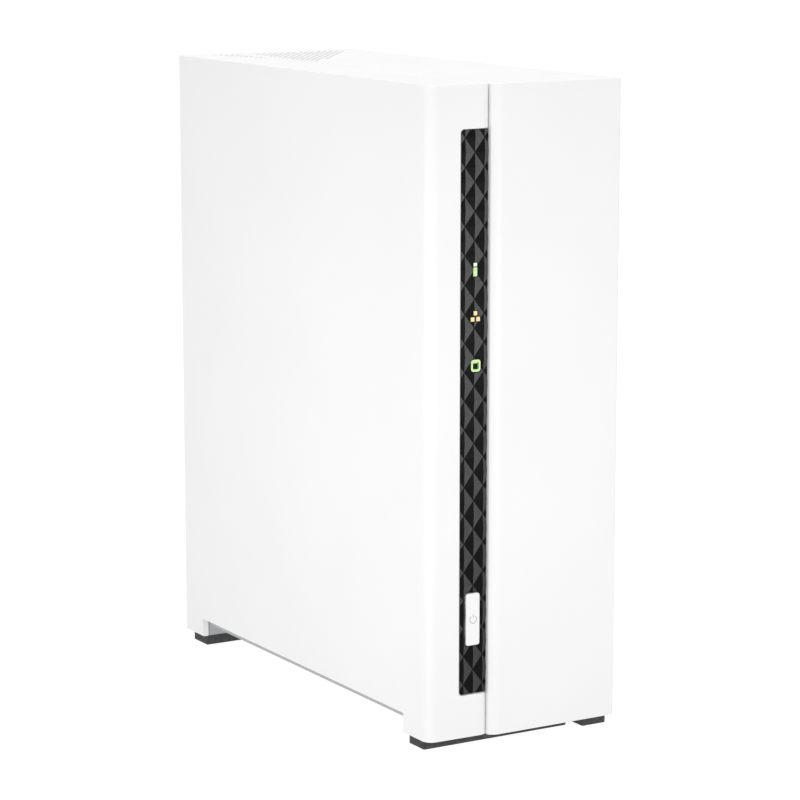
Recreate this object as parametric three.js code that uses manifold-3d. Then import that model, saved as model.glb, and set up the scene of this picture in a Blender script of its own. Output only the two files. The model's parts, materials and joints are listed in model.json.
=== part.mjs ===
// One-bay desktop network storage unit, in millimetres.
// +Z is up, the front faces -Y, and the origin is on the floor under the middle of the unit.

import * as THREE from "three";
import { mergeVertices } from "three/addons/utils/BufferGeometryUtils.js";
import Module from "manifold-3d";

const wasm = await Module();
wasm.setup();

// Driving dimensions of the casing.
const WIDTH = 62.4;
const DEPTH = 156.3;
const HEIGHT = 188.6;
const WALL = 2;
const GAP = 0.3;
const REAR_REACH = 3.9; // how far the thumb screw stands out behind the casing
const FOOT_HEIGHT = 3.2;
const FRONT_LEG = 13.6;
const REAR_LEG = 11.9;
const ARCH_TOP = 8.85; // lower edge of the left wall between the legs
const FLOOR_BOTTOM = 6.7; // underside of the floor between the legs
const SEAM = -11.8; // plane where the left casing and the cover meet

const LEFT = -WIDTH / 2;
const RIGHT = WIDTH / 2;
const FRONT = -DEPTH / 2;
const REAR = DEPTH / 2;
const BACK = REAR - REAR_REACH;
const FACE_CORNER = FRONT + 2.4; // the left face steps back from the cover and leans slightly
const FACE_SEAM = FRONT + 2;
const INNER_FRONT = FACE_CORNER + 2.2;
const CORNER_RADIUS = 3;
const EDGE_RADIUS = 4.4; // rounded vertical edge of the cover beside the seam
const RIGHT_RADIUS = 1;
// The top is vented over a wedge that opens towards the rear. It widens from its tip by leftRun and
// rightRun for every millimetre of y, and ends short of the rear edge.
const VENT = { tip: [-8, 25], leftRun: 0.36, rightRun: 0.82, rear: BACK - 6, width: 1.3, pitch: 2.75 };
const ARCH = [FACE_CORNER + FRONT_LEG, BACK - REAR_LEG];

// Floor tray, rear panel and the cover's lip.
const TRAY_RIGHT = 20.2;
const LIP_LEFT = TRAY_RIGHT + GAP;
const TRAY_FRONT = INNER_FRONT + GAP;
const PANEL = [BACK - 2.5, BACK - 0.5];
const PANEL_BOTTOM = FOOT_HEIGHT + WALL + GAP;
const FLOOR_TOP = FLOOR_BOTTOM + WALL;

// Black faceted strip with its windows and the power button.
const STRIP = { left: -20.55, right: SEAM - GAP / 2, bottom: 16, top: 176, radius: 1 };
const STRIP_FACE = FACE_SEAM + 0.5;
const STRIP_BACK = STRIP_FACE + 1;
const POCKET_FLOOR = STRIP_BACK + GAP;
const RHOMBUS = { x: -16.15, z: 165.7, halfWidth: 3.14, halfHeight: 4.08, relief: 0.35 };
const BUTTON = { x: [-18.65, -14.1], z: [30.05, 45.2], radius: 0.8 };
const BUTTON_FACE = FACE_SEAM - 0.05;
const BUTTON_TRAVEL_ROOM = 0.6;
const STATUS = { x: -15.8, z: 137.3 };
const NETWORK = { x: -15.7, z: 124 };
const ACTIVITY = { x: -15.5, z: 110.2 };

// Boards.
const BOARD = 1.6;
const MAINBOARD = { x: LEFT + WALL + 3.7, y: [-50, 70], z: [10.5, 118] };
const BOARD_FACE = MAINBOARD.x + BOARD;
const ON_BOARD = BOARD_FACE + GAP; // where everything soldered to the mainboard starts
const IO_BOARD = { x: [-23, -8.5], y: -62, z: [28, 145] };

// 3.5 inch drive, standing on its connector end.
const DRIVE = { x: [-3, 23.1], y: [-62, 39.6], z: [23, 170] };
const DRIVE_LID = 1.3;
const DRIVE_HOLES = { inset: 3.18, first: 41.28, second: 85.73 };
const DRIVE_SCREW_RADIUS = 1.7;
const SATA_Y = -22;
const SATA_X = 1;
const BRACKET = { x: [-4.5, -3.3], z: [9, 150] };
const RISER = { x: [-21, 8], y: [-40, -4], z: 12.6 };

// Fan and rear sockets.
const FAN = { x: 0, z: 152, size: 50, depth: 15, hole: 20, bore: 24 };
const FAN_Y = [PANEL[0] - GAP - FAN.depth, PANEL[0] - GAP];
const HUB_RADIUS = 11.5;
const THUMB = { x: 23.2, z: 108, radius: 5.5 };
const PINHOLE = 1.2; // radius of the hole in front of the reset plunger
const LOCK_SLOT = { x: [6, 9], z: [24, 31], radius: 1.4 };
const SOCKET_FACE = PANEL[1] - 0.3;
const LAN = { x: [ON_BOARD, ON_BOARD + 13.4], z: [56, 72], depth: 21 };
const USB = { x: [ON_BOARD, ON_BOARD + 7.1], width: 14.4, depth: 16.5, low: 36, high: 78 };
const DC = { x: [ON_BOARD, ON_BOARD + 11], z: [18, 27], depth: 13.5 };
const RESET = { x: ON_BOARD + 2, z: 100 };

const AXES = {
  x: [new THREE.Vector3(0, 1, 0), new THREE.Vector3(0, 0, 1), new THREE.Vector3(1, 0, 0)],
  y: [new THREE.Vector3(1, 0, 0), new THREE.Vector3(0, 0, 1), new THREE.Vector3(0, -1, 0)],
  z: [new THREE.Vector3(1, 0, 0), new THREE.Vector3(0, 1, 0), new THREE.Vector3(0, 0, 1)],
};

// A solid from a closed geometry; triangles that collapse where vertices merge are dropped.
function solid(geometry) {
  geometry.deleteAttribute("normal");
  geometry.deleteAttribute("uv");
  const merged = mergeVertices(geometry, 1e-5);
  const index = merged.index.array;
  const kept = [];
  for (let i = 0; i < index.length; i += 3) {
    const [a, b, c] = index.slice(i, i + 3);
    if (a !== b && b !== c && c !== a) kept.push(a, b, c);
  }
  return new wasm.Manifold(
    new wasm.Mesh({
      numProp: 3,
      vertProperties: new Float32Array(merged.attributes.position.array),
      triVerts: new Uint32Array(kept),
    }),
  );
}

function joined(solids) {
  return solids.reduce((whole, next) => whole.add(next));
}

function cut(from, solids) {
  return solids.reduce((whole, next) => whole.subtract(next), from);
}

// A box from its lowest and highest x, y and z.
function block([x0, x1], [y0, y1], [z0, z1]) {
  const geometry = new THREE.BoxGeometry(x1 - x0, y1 - y0, z1 - z0);
  return solid(geometry.translate((x0 + x1) / 2, (y0 + y1) / 2, (z0 + z1) / 2));
}

// A shape drawn across an axis and extruded along it. Across x it is drawn in (y, z), across y in
// (x, z) and across z in (x, y).
function prism(shape, axis, [from, to], curveSegments = 3) {
  const depth = to - from;
  const geometry = new THREE.ExtrudeGeometry(shape, { depth, bevelEnabled: false, curveSegments });
  const [u, v, w] = AXES[axis];
  const matrix = new THREE.Matrix4().makeBasis(u, v, w);
  matrix.setPosition(w.clone().multiplyScalar(axis === "y" ? -to : from));
  return solid(geometry.applyMatrix4(matrix));
}

function outline(points) {
  return new THREE.Shape(points.map(([u, v]) => new THREE.Vector2(u, v)));
}

function roundedRectangle([u0, u1], [v0, v1], radius) {
  const shape = new THREE.Shape();
  shape.absarc(u1 - radius, v0 + radius, radius, -Math.PI / 2, 0);
  shape.absarc(u1 - radius, v1 - radius, radius, 0, Math.PI / 2);
  shape.absarc(u0 + radius, v1 - radius, radius, Math.PI / 2, Math.PI);
  shape.absarc(u0 + radius, v0 + radius, radius, Math.PI, 1.5 * Math.PI);
  return shape;
}

function circle(u, v, radius) {
  return new THREE.Shape().absarc(u, v, radius, 0, 2 * Math.PI);
}

function rod(axis, [u, v], radius, range, sides = 24) {
  return prism(circle(u, v, radius), axis, range, sides / 2);
}

function grown([low, high], by) {
  return [low - by, high + by];
}

// Left casing: left wall, left part of the front, a strip of the top and two legs.
function leftPlan() {
  const right = SEAM - GAP / 2;
  const plan = new THREE.Shape();
  plan.moveTo(right, BACK);
  plan.lineTo(LEFT, BACK);
  plan.absarc(
    LEFT + CORNER_RADIUS,
    FACE_CORNER + CORNER_RADIUS,
    CORNER_RADIUS,
    Math.PI,
    1.5 * Math.PI,
  );
  plan.lineTo(right, FACE_SEAM);
  return plan;
}

// The strip's outline, rounded on its left side and square at the seam.
function stripOutline(by, right) {
  const left = STRIP.left - by;
  const bottom = STRIP.bottom - by;
  const top = STRIP.top + by;
  const { radius } = STRIP;
  const shape = new THREE.Shape();
  shape.moveTo(right, bottom);
  shape.lineTo(right, top);
  shape.absarc(left + radius, top - radius, radius, Math.PI / 2, Math.PI);
  shape.absarc(left + radius, bottom + radius, radius, Math.PI, 1.5 * Math.PI);
  return shape;
}

function buttonOpening(range) {
  const shape = roundedRectangle(grown(BUTTON.x, GAP), grown(BUTTON.z, GAP), BUTTON.radius);
  return prism(shape, "y", range);
}

// Vent slots over the whole width of the wedge, kept within a span of x.
function ventSlots([from, to]) {
  const [tipX, tipY] = VENT.tip;
  const slots = [];
  for (let y = tipY + VENT.pitch; y + VENT.width < VENT.rear; y += VENT.pitch) {
    const left = Math.max(from, tipX - VENT.leftRun * (y - tipY));
    const right = Math.min(to, tipX + VENT.rightRun * (y - tipY));
    if (right - left > VENT.width) {
      slots.push(block([left, right], [y, y + VENT.width], [HEIGHT - 2 * WALL, HEIGHT + 1]));
    }
  }
  return slots;
}

const STANDOFFS = [
  [-44, 112],
  [60, 112],
  [-44, 20],
  [46, 14],
];

function chassisShell() {
  const tongueReach = 3;
  const tongueThickness = 1.1;
  const tongueRoot = 0.8;
  const tongueBottom = 9.3;
  const edge = SEAM - GAP / 2;
  const inside = HEIGHT - WALL;
  const hollow = block([LEFT + WALL, 0], [INNER_FRONT, REAR], [0, inside]);
  const walls = prism(leftPlan(), "z", [FOOT_HEIGHT, HEIGHT], 4).subtract(hollow);
  const across = [edge - tongueRoot, SEAM + tongueReach];
  const root = [edge - tongueRoot, edge];
  const tongueY = [INNER_FRONT, BACK - tongueReach];
  const frontTongue = block(across, [INNER_FRONT, INNER_FRONT + tongueThickness], [tongueBottom, inside]);
  const topTongue = block(across, tongueY, [inside - GAP - tongueThickness, inside - GAP]);
  const topRoot = block(root, tongueY, [inside - 2 * GAP, inside + GAP]);
  const frontRoot = block(root, [INNER_FRONT - GAP, INNER_FRONT + GAP], [tongueBottom, inside]);
  const posts = STANDOFFS.map((at) => rod("x", at, 3, [LEFT + WALL / 2, MAINBOARD.x - GAP], 16));
  const pilots = STANDOFFS.map((at) => rod("x", at, 1.5, [LEFT + WALL, MAINBOARD.x], 12));
  const whole = joined([walls, frontRoot, frontTongue, topRoot, topTongue, ...posts]);
  const windows = [STATUS, NETWORK, ACTIVITY].map(({ x, z }) =>
    block(grown([x, x], 2.3), [STRIP_FACE, INNER_FRONT + 2], grown([z, z], 3)),
  );
  return cut(whole, [
    block([LEFT - 1, LEFT + WALL + 1], ARCH, [0, ARCH_TOP]),
    prism(stripOutline(GAP, SEAM), "y", [FRONT, POCKET_FLOOR]),
    buttonOpening([FRONT, INNER_FRONT + 2]),
    ...windows,
    ...pilots,
    ...ventSlots([LEFT + 4, SEAM - 2.5]),
  ]);
}

// Section of the floor: low over the legs and raised between them, with an even thickness.
function floorSection(front, back) {
  const [archFront, archBack] = ARCH;
  return outline([
    [front, FOOT_HEIGHT],
    [archFront, FOOT_HEIGHT],
    [archFront, FLOOR_BOTTOM],
    [archBack, FLOOR_BOTTOM],
    [archBack, FOOT_HEIGHT],
    [back, FOOT_HEIGHT],
    [back, FOOT_HEIGHT + WALL],
    [archBack + WALL, FOOT_HEIGHT + WALL],
    [archBack + WALL, FLOOR_TOP],
    [archFront - WALL, FLOOR_TOP],
    [archFront - WALL, FOOT_HEIGHT + WALL],
    [front, FOOT_HEIGHT + WALL],
  ]);
}

function baseTray() {
  const left = LEFT + WALL + GAP;
  const floor = prism(floorSection(TRAY_FRONT, PANEL[1]), "x", [left, TRAY_RIGHT]);
  const slots = [];
  for (let i = 0; i < 8; i += 1) {
    const y = 6 + i * 6;
    slots.push(block([left + 10, TRAY_RIGHT - 8], [y, y + 2.4], [0, 20]));
  }
  return cut(floor, slots);
}

// Right casing: right part of the front, the vented top, the right wall and a lip underneath.
function coverPlan() {
  const left = SEAM + GAP / 2;
  const centre = [SEAM + 3.4, FRONT + EDGE_RADIUS];
  const seamAngle = Math.PI + Math.acos((centre[0] - left) / EDGE_RADIUS);
  const plan = new THREE.Shape();
  plan.moveTo(left, BACK);
  plan.lineTo(left, FRONT + EDGE_RADIUS);
  plan.absarc(...centre, EDGE_RADIUS, seamAngle, 1.5 * Math.PI);
  plan.absarc(RIGHT - RIGHT_RADIUS, FRONT + RIGHT_RADIUS, RIGHT_RADIUS, -Math.PI / 2, 0);
  plan.lineTo(RIGHT, BACK);
  return plan;
}

function rightCover() {
  const inside = RIGHT - WALL;
  const seamInside = INNER_FRONT - 0.5; // the wall is deeper beside the seam, under its round edge
  const hollow = outline([
    [SEAM - 5, seamInside],
    [SEAM + 7, seamInside],
    [SEAM + 7, FRONT + WALL],
    [inside, FRONT + WALL],
    [inside, REAR],
    [SEAM - 5, REAR],
  ]);
  const walls = prism(coverPlan(), "z", [FOOT_HEIGHT, HEIGHT], 4);
  const open = walls.subtract(prism(hollow, "z", [0, HEIGHT - WALL]));
  const tabY = [PANEL[0] - GAP - WALL, PANEL[0] - GAP];
  const tab = block([THUMB.x - 4.5, inside + 1], tabY, grown([THUMB.z, THUMB.z], 8));
  const bare = open.subtract(block([LIP_LEFT, RIGHT + 1], ARCH, [0, FLOOR_BOTTOM]));
  const lip = prism(floorSection(FRONT + WALL / 2, BACK), "x", [LIP_LEFT, inside + 0.5]);
  return cut(joined([bare, lip, tab]), [
    rod("y", [THUMB.x, THUMB.z], 1.9, [BACK - 10, BACK], 16),
    ...ventSlots([SEAM + 5, RIGHT - 4]),
  ]);
}

// Rear panel: fan grille, socket openings, reset pinhole, lock slot and the thumb screw's hole.
function grilleRing(inner, outer) {
  const spokeHalf = 1.4;
  const ring = rod("y", [FAN.x, FAN.z], outer, grown(PANEL, 1)).subtract(
    rod("y", [FAN.x, FAN.z], inner, grown(PANEL, 2)),
  );
  const upright = block(grown([FAN.x, FAN.x], spokeHalf), grown(PANEL, 3), grown([FAN.z, FAN.z], 30));
  const level = block(grown([FAN.x, FAN.x], 30), grown(PANEL, 3), grown([FAN.z, FAN.z], spokeHalf));
  return cut(ring, [upright, level]);
}

const FAN_CORNERS = [
  [FAN.x - FAN.hole, FAN.z - FAN.hole],
  [FAN.x + FAN.hole, FAN.z - FAN.hole],
  [FAN.x - FAN.hole, FAN.z + FAN.hole],
  [FAN.x + FAN.hole, FAN.z + FAN.hole],
];

function socketOpening(xRange, zRange) {
  return block(grown(xRange, GAP), grown(PANEL, 1), grown(zRange, GAP));
}

function rearPanel() {
  const side = WALL + GAP;
  const sheet = block([LEFT + side, RIGHT - side], PANEL, [PANEL_BOTTOM, HEIGHT - side]);
  const rings = [];
  for (let radius = 6; radius < FAN.bore - 3; radius += 4.4) {
    rings.push(grilleRing(radius, radius + 2.6));
  }
  return cut(sheet, [
    ...rings,
    ...FAN_CORNERS.map((at) => rod("y", at, 2.2, grown(PANEL, 1), 12)),
    socketOpening(LAN.x, LAN.z),
    socketOpening(USB.x, [USB.low, USB.low + USB.width]),
    socketOpening(USB.x, [USB.high, USB.high + USB.width]),
    socketOpening(DC.x, DC.z),
    rod("y", [RESET.x, RESET.z], PINHOLE, grown(PANEL, 1), 12),
    prism(roundedRectangle(LOCK_SLOT.x, LOCK_SLOT.z, LOCK_SLOT.radius), "y", grown(PANEL, 1)),
    rod("y", [THUMB.x, THUMB.z], 2.1, grown(PANEL, 1), 16),
  ]);
}

// Captive thumb screw with a lobed head and a coin slot.
function thumbScrew() {
  const lobes = 16;
  const points = [];
  for (let i = 0; i < 2 * lobes; i += 1) {
    const radius = i % 2 ? THUMB.radius : THUMB.radius - 0.5;
    const angle = (i * Math.PI) / lobes;
    points.push([THUMB.x + radius * Math.cos(angle), THUMB.z + radius * Math.sin(angle)]);
  }
  const headFront = PANEL[1] + GAP;
  const head = prism(outline(points), "y", [headFront, REAR]);
  const shank = rod("y", [THUMB.x, THUMB.z], 1.5, [PANEL[0] - 6, headFront + 1], 16);
  const slot = block(grown([THUMB.x, THUMB.x], 4), [REAR - 1.2, REAR + 1], grown([THUMB.z, THUMB.z], 0.6));
  return head.add(shank).subtract(slot);
}

// Front strip: a plate covered with low pyramids on a staggered rhombic lattice.
function rhombicPyramid(x, z) {
  const geometry = new THREE.ConeGeometry(1, 1, 4);
  const buried = 0.05;
  const height = RHOMBUS.relief + buried;
  geometry.rotateX(Math.PI);
  geometry.scale(RHOMBUS.halfWidth, height, RHOMBUS.halfHeight);
  return solid(geometry.translate(x, STRIP_FACE + buried - height / 2, z));
}

function frontTrim() {
  const plate = prism(stripOutline(0, STRIP.right), "y", [STRIP_FACE, STRIP_BACK]);
  const pyramids = [];
  for (let column = -1; column <= 1; column += 1) {
    const x = RHOMBUS.x + column * RHOMBUS.halfWidth;
    const shift = column % 2 ? RHOMBUS.halfHeight : 0;
    for (let z = RHOMBUS.z + shift + 2 * RHOMBUS.halfHeight; z > 0; z -= 2 * RHOMBUS.halfHeight) {
      pyramids.push(rhombicPyramid(x, z));
    }
  }
  const bound = prism(stripOutline(0, STRIP.right), "y", [FRONT, STRIP_BACK]);
  const faceted = joined([plate, ...pyramids]).intersect(bound);
  const through = [FRONT, STRIP_BACK + 1];
  return cut(faceted, [
    buttonOpening(through),
    block(grown([STATUS.x, STATUS.x], 0.9), through, grown([STATUS.z, STATUS.z], 2.2)),
    block(grown([NETWORK.x, NETWORK.x], 1.8), through, grown([NETWORK.z, NETWORK.z], 1.8)),
    block(grown([ACTIVITY.x, ACTIVITY.x], 2), through, grown([ACTIVITY.z, ACTIVITY.z], 2.2)),
  ]);
}

// Light pipes: the lit symbol, a plate behind the casing and a stem back to the LED.
const LED_FACE = IO_BOARD.y - 1.5;

function lightPipe({ x, z }, symbol) {
  const plateY = [INNER_FRONT + GAP, INNER_FRONT + 1.8];
  const plate = block(grown([x, x], 2.4), plateY, grown([z, z], 3.6));
  const stem = block(grown([x, x], 1.2), [plateY[0], LED_FACE - GAP], grown([z, z], 1.2));
  return joined([plate, stem, ...symbol]);
}

function lightPost([x0, x1], [z0, z1]) {
  return block([x0, x1], [STRIP_FACE, INNER_FRONT + 1], [z0, z1]);
}

function statusLightPipe() {
  const dot = lightPost(grown([STATUS.x, STATUS.x], 0.56), [STATUS.z + 0.8, STATUS.z + 1.8]);
  const bar = lightPost(grown([STATUS.x, STATUS.x], 0.63), [STATUS.z - 1.95, STATUS.z + 0.5]);
  return lightPipe(STATUS, [dot, bar]);
}

function networkLightPipe() {
  const half = 0.6;
  const dots = [
    [NETWORK.x, NETWORK.z + 1],
    [NETWORK.x - 0.9, NETWORK.z - 0.7],
    [NETWORK.x + 0.9, NETWORK.z - 0.7],
  ];
  return lightPipe(
    NETWORK,
    dots.map(([x, z]) => lightPost(grown([x, x], half), grown([z, z], half))),
  );
}

function driveLightPipe() {
  const { x, z } = ACTIVITY;
  const ring = roundedRectangle(grown([x, x], 1.55), grown([z, z], 1.7), 0.8);
  const middle = roundedRectangle(grown([x, x], 0.95), grown([z, z], 1.05), 0.35);
  const post = prism(ring, "y", [STRIP_FACE, INNER_FRONT + 1]);
  return lightPipe(ACTIVITY, [post.subtract(prism(middle, "y", [FRONT, STRIP_FACE + 0.8]))]);
}

// Power button: cap, retaining flange behind the casing and a stem towards the switch.
const SWITCH_FACE = IO_BOARD.y - 3;
const PLUNGER_TIP = SWITCH_FACE - 0.6;
const BUTTON_CENTRE = [(BUTTON.x[0] + BUTTON.x[1]) / 2, (BUTTON.z[0] + BUTTON.z[1]) / 2];

function powerButton() {
  const cap = roundedRectangle(BUTTON.x, BUTTON.z, BUTTON.radius);
  const flangeY = [INNER_FRONT + GAP, INNER_FRONT + 1.5];
  const flange = block(grown(BUTTON.x, 0.7), flangeY, grown(BUTTON.z, 1));
  return joined([
    prism(cap, "y", [BUTTON_FACE, flangeY[1]]),
    flange,
    rod("y", BUTTON_CENTRE, 1.5, [flangeY[0], PLUNGER_TIP - BUTTON_TRAVEL_ROOM], 16),
  ]);
}

function powerSwitch() {
  const [x, z] = BUTTON_CENTRE;
  const housing = block(grown([x, x], 3), [SWITCH_FACE, IO_BOARD.y - GAP], grown([z, z], 3));
  return housing.subtract(rod("y", BUTTON_CENTRE, 2.1, [FRONT, SWITCH_FACE + 1.2], 16));
}

function powerSwitchPlunger() {
  return rod("y", BUTTON_CENTRE, 1.75, [PLUNGER_TIP, SWITCH_FACE + 0.7], 16);
}

function frontIoBoard() {
  return block(IO_BOARD.x, [IO_BOARD.y, IO_BOARD.y + BOARD], IO_BOARD.z);
}

function led({ x, z }) {
  return block(grown([x, x], 1.6), [LED_FACE, IO_BOARD.y - GAP], grown([z, z], 0.9));
}

function frontIoHeader() {
  return block([ON_BOARD, ON_BOARD + 4], [IO_BOARD.y + BOARD + GAP, MAINBOARD.y[0] + 6], [60, 72]);
}

// Mainboard and what is soldered to it. Chips stand on its +X face.
function mainboard() {
  const board = block([MAINBOARD.x, BOARD_FACE], MAINBOARD.y, MAINBOARD.z);
  const holes = STANDOFFS.map((at) => rod("x", at, 1.6, grown([MAINBOARD.x, BOARD_FACE], 1), 12));
  return cut(board, holes);
}

function mainboardScrew(at) {
  const seat = BOARD_FACE + GAP;
  const head = rod("x", at, 2.6, [seat, seat + 1.8], 16);
  const shank = rod("x", at, 1.2, [LEFT + WALL + 0.5, seat + 0.5], 12);
  const slot = block([seat + 1, seat + 3], grown([at[0], at[0]], 2), grown([at[1], at[1]], 0.4));
  return head.add(shank).subtract(slot);
}

function chip(height, yRange, zRange) {
  return block([ON_BOARD, ON_BOARD + height], yRange, zRange);
}

const PROCESSOR_HEIGHT = 1.4;

function heatsink() {
  const base = ON_BOARD + PROCESSOR_HEIGHT + GAP;
  const fins = [];
  for (let i = 0; i < 9; i += 1) {
    const y = -16 + i * 3.85;
    fins.push(block([base + 1, base + 9], [y, y + 1.2], [46, 78]));
  }
  return joined([block([base, base + 2], [-17, 17], [45, 79]), ...fins]);
}

const CELL_AT = [-30, 98];

function coinCellHolder() {
  const ring = rod("x", CELL_AT, 11.6, [ON_BOARD, ON_BOARD + 3.4]);
  const pocket = rod("x", CELL_AT, 10.4, [ON_BOARD + 0.8, ON_BOARD + 5]);
  return ring.subtract(pocket);
}

function coinCell() {
  return rod("x", CELL_AT, 10, [ON_BOARD + 1.1, ON_BOARD + 4.3]);
}

function capacitor(at) {
  return rod("x", at, 3.15, [ON_BOARD, ON_BOARD + 7.7], 20);
}

function powerInductor() {
  return prism(roundedRectangle([26, 33], [16, 23], 1.5), "x", [ON_BOARD, ON_BOARD + 4]);
}

function networkJack() {
  const [z0] = LAN.z;
  const plug = [SOCKET_FACE - 14, SOCKET_FACE + 1];
  const housing = block(LAN.x, [SOCKET_FACE - LAN.depth, SOCKET_FACE], LAN.z);
  const bay = block([LAN.x[0] + 3, LAN.x[0] + 10.4], plug, [z0 + 2.1, z0 + 13.9]);
  const latch = block([LAN.x[0] + 1.2, LAN.x[0] + 4], plug, [z0 + 5, z0 + 11]);
  return cut(housing, [bay, latch]);
}

function usbPort(bottom) {
  const wall = 0.9;
  const mouth = [SOCKET_FACE - 12, SOCKET_FACE + 1];
  const top = bottom + USB.width;
  const shell = block(USB.x, [SOCKET_FACE - USB.depth, SOCKET_FACE], [bottom, top]);
  const bay = block(grown(USB.x, -wall), mouth, grown([bottom, top], -wall));
  const tongueX = [USB.x[0] + 1.5, USB.x[0] + 3.3];
  const tongue = block(tongueX, [SOCKET_FACE - 13, SOCKET_FACE - 1.5], grown([bottom, top], -1.6));
  return shell.subtract(bay).add(tongue);
}

function powerInlet() {
  const at = [DC.x[0] + 5.6, (DC.z[0] + DC.z[1]) / 2];
  const mouth = [SOCKET_FACE - 10, SOCKET_FACE + 1];
  const housing = block(DC.x, [SOCKET_FACE - DC.depth, SOCKET_FACE], DC.z);
  const pin = rod("y", at, 1, [SOCKET_FACE - 11, SOCKET_FACE - 1], 12);
  return housing.subtract(rod("y", at, 3.1, mouth)).add(pin);
}

const RESET_FACE = MAINBOARD.y[1] - 3;

function resetSwitch() {
  const x = [ON_BOARD, ON_BOARD + 4];
  const housing = block(x, [RESET_FACE - 4, RESET_FACE], grown([RESET.z, RESET.z], 3));
  return housing.subtract(rod("y", [RESET.x, RESET.z], 1.3, [RESET_FACE - 1.5, REAR], 12));
}

function resetPlunger() {
  return rod("y", [RESET.x, RESET.z], 0.9, [RESET_FACE - 1, RESET_FACE + 2], 12);
}

// Riser board that turns the mainboard's socket into an upright SATA receptacle.
function riserSocket() {
  const housing = block([ON_BOARD, RISER.x[0] + 5], [RISER.y[0] - 2, RISER.y[1] + 2], [10.8, 16.4]);
  const slotX = [RISER.x[0] - GAP, RISER.x[0] + 6];
  return housing.subtract(block(slotX, grown(RISER.y, GAP), grown([RISER.z, RISER.z + BOARD], GAP)));
}

function sataRiser() {
  return block(RISER.x, RISER.y, [RISER.z, RISER.z + BOARD]);
}

function sataReceptacle() {
  const top = DRIVE.z[0] - GAP;
  const across = grown([SATA_Y, SATA_Y], 18.5);
  const housing = block(grown([SATA_X, SATA_X], 2.6), across, [RISER.z + BOARD + GAP, top]);
  const slotY = grown([SATA_Y, SATA_Y], 17);
  return housing.subtract(block(grown([SATA_X, SATA_X], 0.95), slotY, [top - 4.5, top + 1]));
}

// Drive and its bracket.
const DRIVE_SCREWS = [DRIVE_HOLES.first, DRIVE_HOLES.second].flatMap((rise) => [
  [DRIVE.y[0] + DRIVE_HOLES.inset, DRIVE.z[0] + rise],
  [DRIVE.y[1] - DRIVE_HOLES.inset, DRIVE.z[0] + rise],
]);
const DRIVE_RECESS = 1.9;

function driveBody() {
  const castingX = [DRIVE.x[0], DRIVE.x[1] - DRIVE_LID - GAP];
  const casting = prism(roundedRectangle(DRIVE.y, DRIVE.z, 2), "x", castingX, 2);
  const recessX = [DRIVE.x[0] - 1, DRIVE.x[0] + DRIVE_RECESS];
  const recess = block(recessX, grown(DRIVE.y, -8), [DRIVE.z[0] - 1, DRIVE.z[0] + 100]);
  const notchX = [DRIVE.x[0] - 1, SATA_X + 3.5];
  const notch = block(notchX, grown([SATA_Y, SATA_Y], 20), [DRIVE.z[0] - 1, DRIVE.z[0] + 6]);
  const holeX = [DRIVE.x[0] - 1, DRIVE.x[0] + 6];
  return cut(casting, [
    recess,
    notch,
    ...DRIVE_SCREWS.map((at) => rod("x", at, DRIVE_SCREW_RADIUS + GAP, holeX, 16)),
  ]);
}

function driveLid() {
  const [, outer] = DRIVE.x;
  const sheet = roundedRectangle(grown(DRIVE.y, -1), grown(DRIVE.z, -1), 5);
  const raised = circle((DRIVE.y[0] + DRIVE.y[1]) / 2, DRIVE.z[1] - 53, 46);
  return prism(sheet, "x", [outer - DRIVE_LID, outer - 0.5]).add(
    prism(raised, "x", [outer - 1, outer], 16),
  );
}

function driveCircuitBoard() {
  const x = [DRIVE.x[0] + 0.2, DRIVE.x[0] + DRIVE_RECESS - GAP];
  const board = block(x, grown(DRIVE.y, -8.5), [DRIVE.z[0] + 0.6, DRIVE.z[0] + 99]);
  const plugZ = [DRIVE.z[0] + 0.3, DRIVE.z[0] + 5.5];
  const plug = block([x[0], SATA_X + 3], grown([SATA_Y, SATA_Y], 19), plugZ);
  const tongueZ = [DRIVE.z[0] - 3.6, DRIVE.z[0] + 1];
  const tongue = block(grown([SATA_X, SATA_X], 0.6), grown([SATA_Y, SATA_Y], 16.5), tongueZ);
  return joined([board, plug, tongue]);
}

function driveScrew(at) {
  const seat = BRACKET.x[0] - GAP;
  const head = rod("x", at, 3.2, [seat - 1.7, seat], 20);
  const shank = rod("x", at, DRIVE_SCREW_RADIUS, [seat - 0.5, DRIVE.x[0] + 4.5], 16);
  const recess = block([seat - 3, seat - 0.9], grown([at[0], at[0]], 2.2), grown([at[1], at[1]], 0.5));
  return head.add(shank).subtract(recess);
}

function driveBracket() {
  const [outer, inner] = BRACKET.x;
  const thickness = inner - outer;
  const y = grown(DRIVE.y, GAP + thickness);
  const reach = 9;
  const foot = block([outer, reach + 6], [20, 38], [BRACKET.z[0], BRACKET.z[0] + thickness]);
  const walls = joined([
    block(BRACKET.x, y, BRACKET.z),
    block([outer, reach], [y[0], y[0] + thickness], [30, BRACKET.z[1]]),
    block([outer, reach], [y[1] - thickness, y[1]], [30, BRACKET.z[1]]),
    foot,
  ]);
  const windowY = grown(RISER.y, 3);
  const riserWindow = block(grown(BRACKET.x, 1), windowY, [RISER.z - 1.5, DRIVE.z[0] - 1]);
  const vents = [];
  for (let row = 0; row < 4; row += 1) {
    for (let column = 0; column < 3; column += 1) {
      const at = [-36 + column * 25, 44 + row * 27];
      vents.push(rod("x", at, 8, grown(BRACKET.x, 1), 14));
    }
  }
  return cut(walls, [
    riserWindow,
    ...vents,
    ...DRIVE_SCREWS.map((at) => rod("x", at, DRIVE_SCREW_RADIUS + GAP, grown(BRACKET.x, 1), 16)),
  ]);
}

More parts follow.
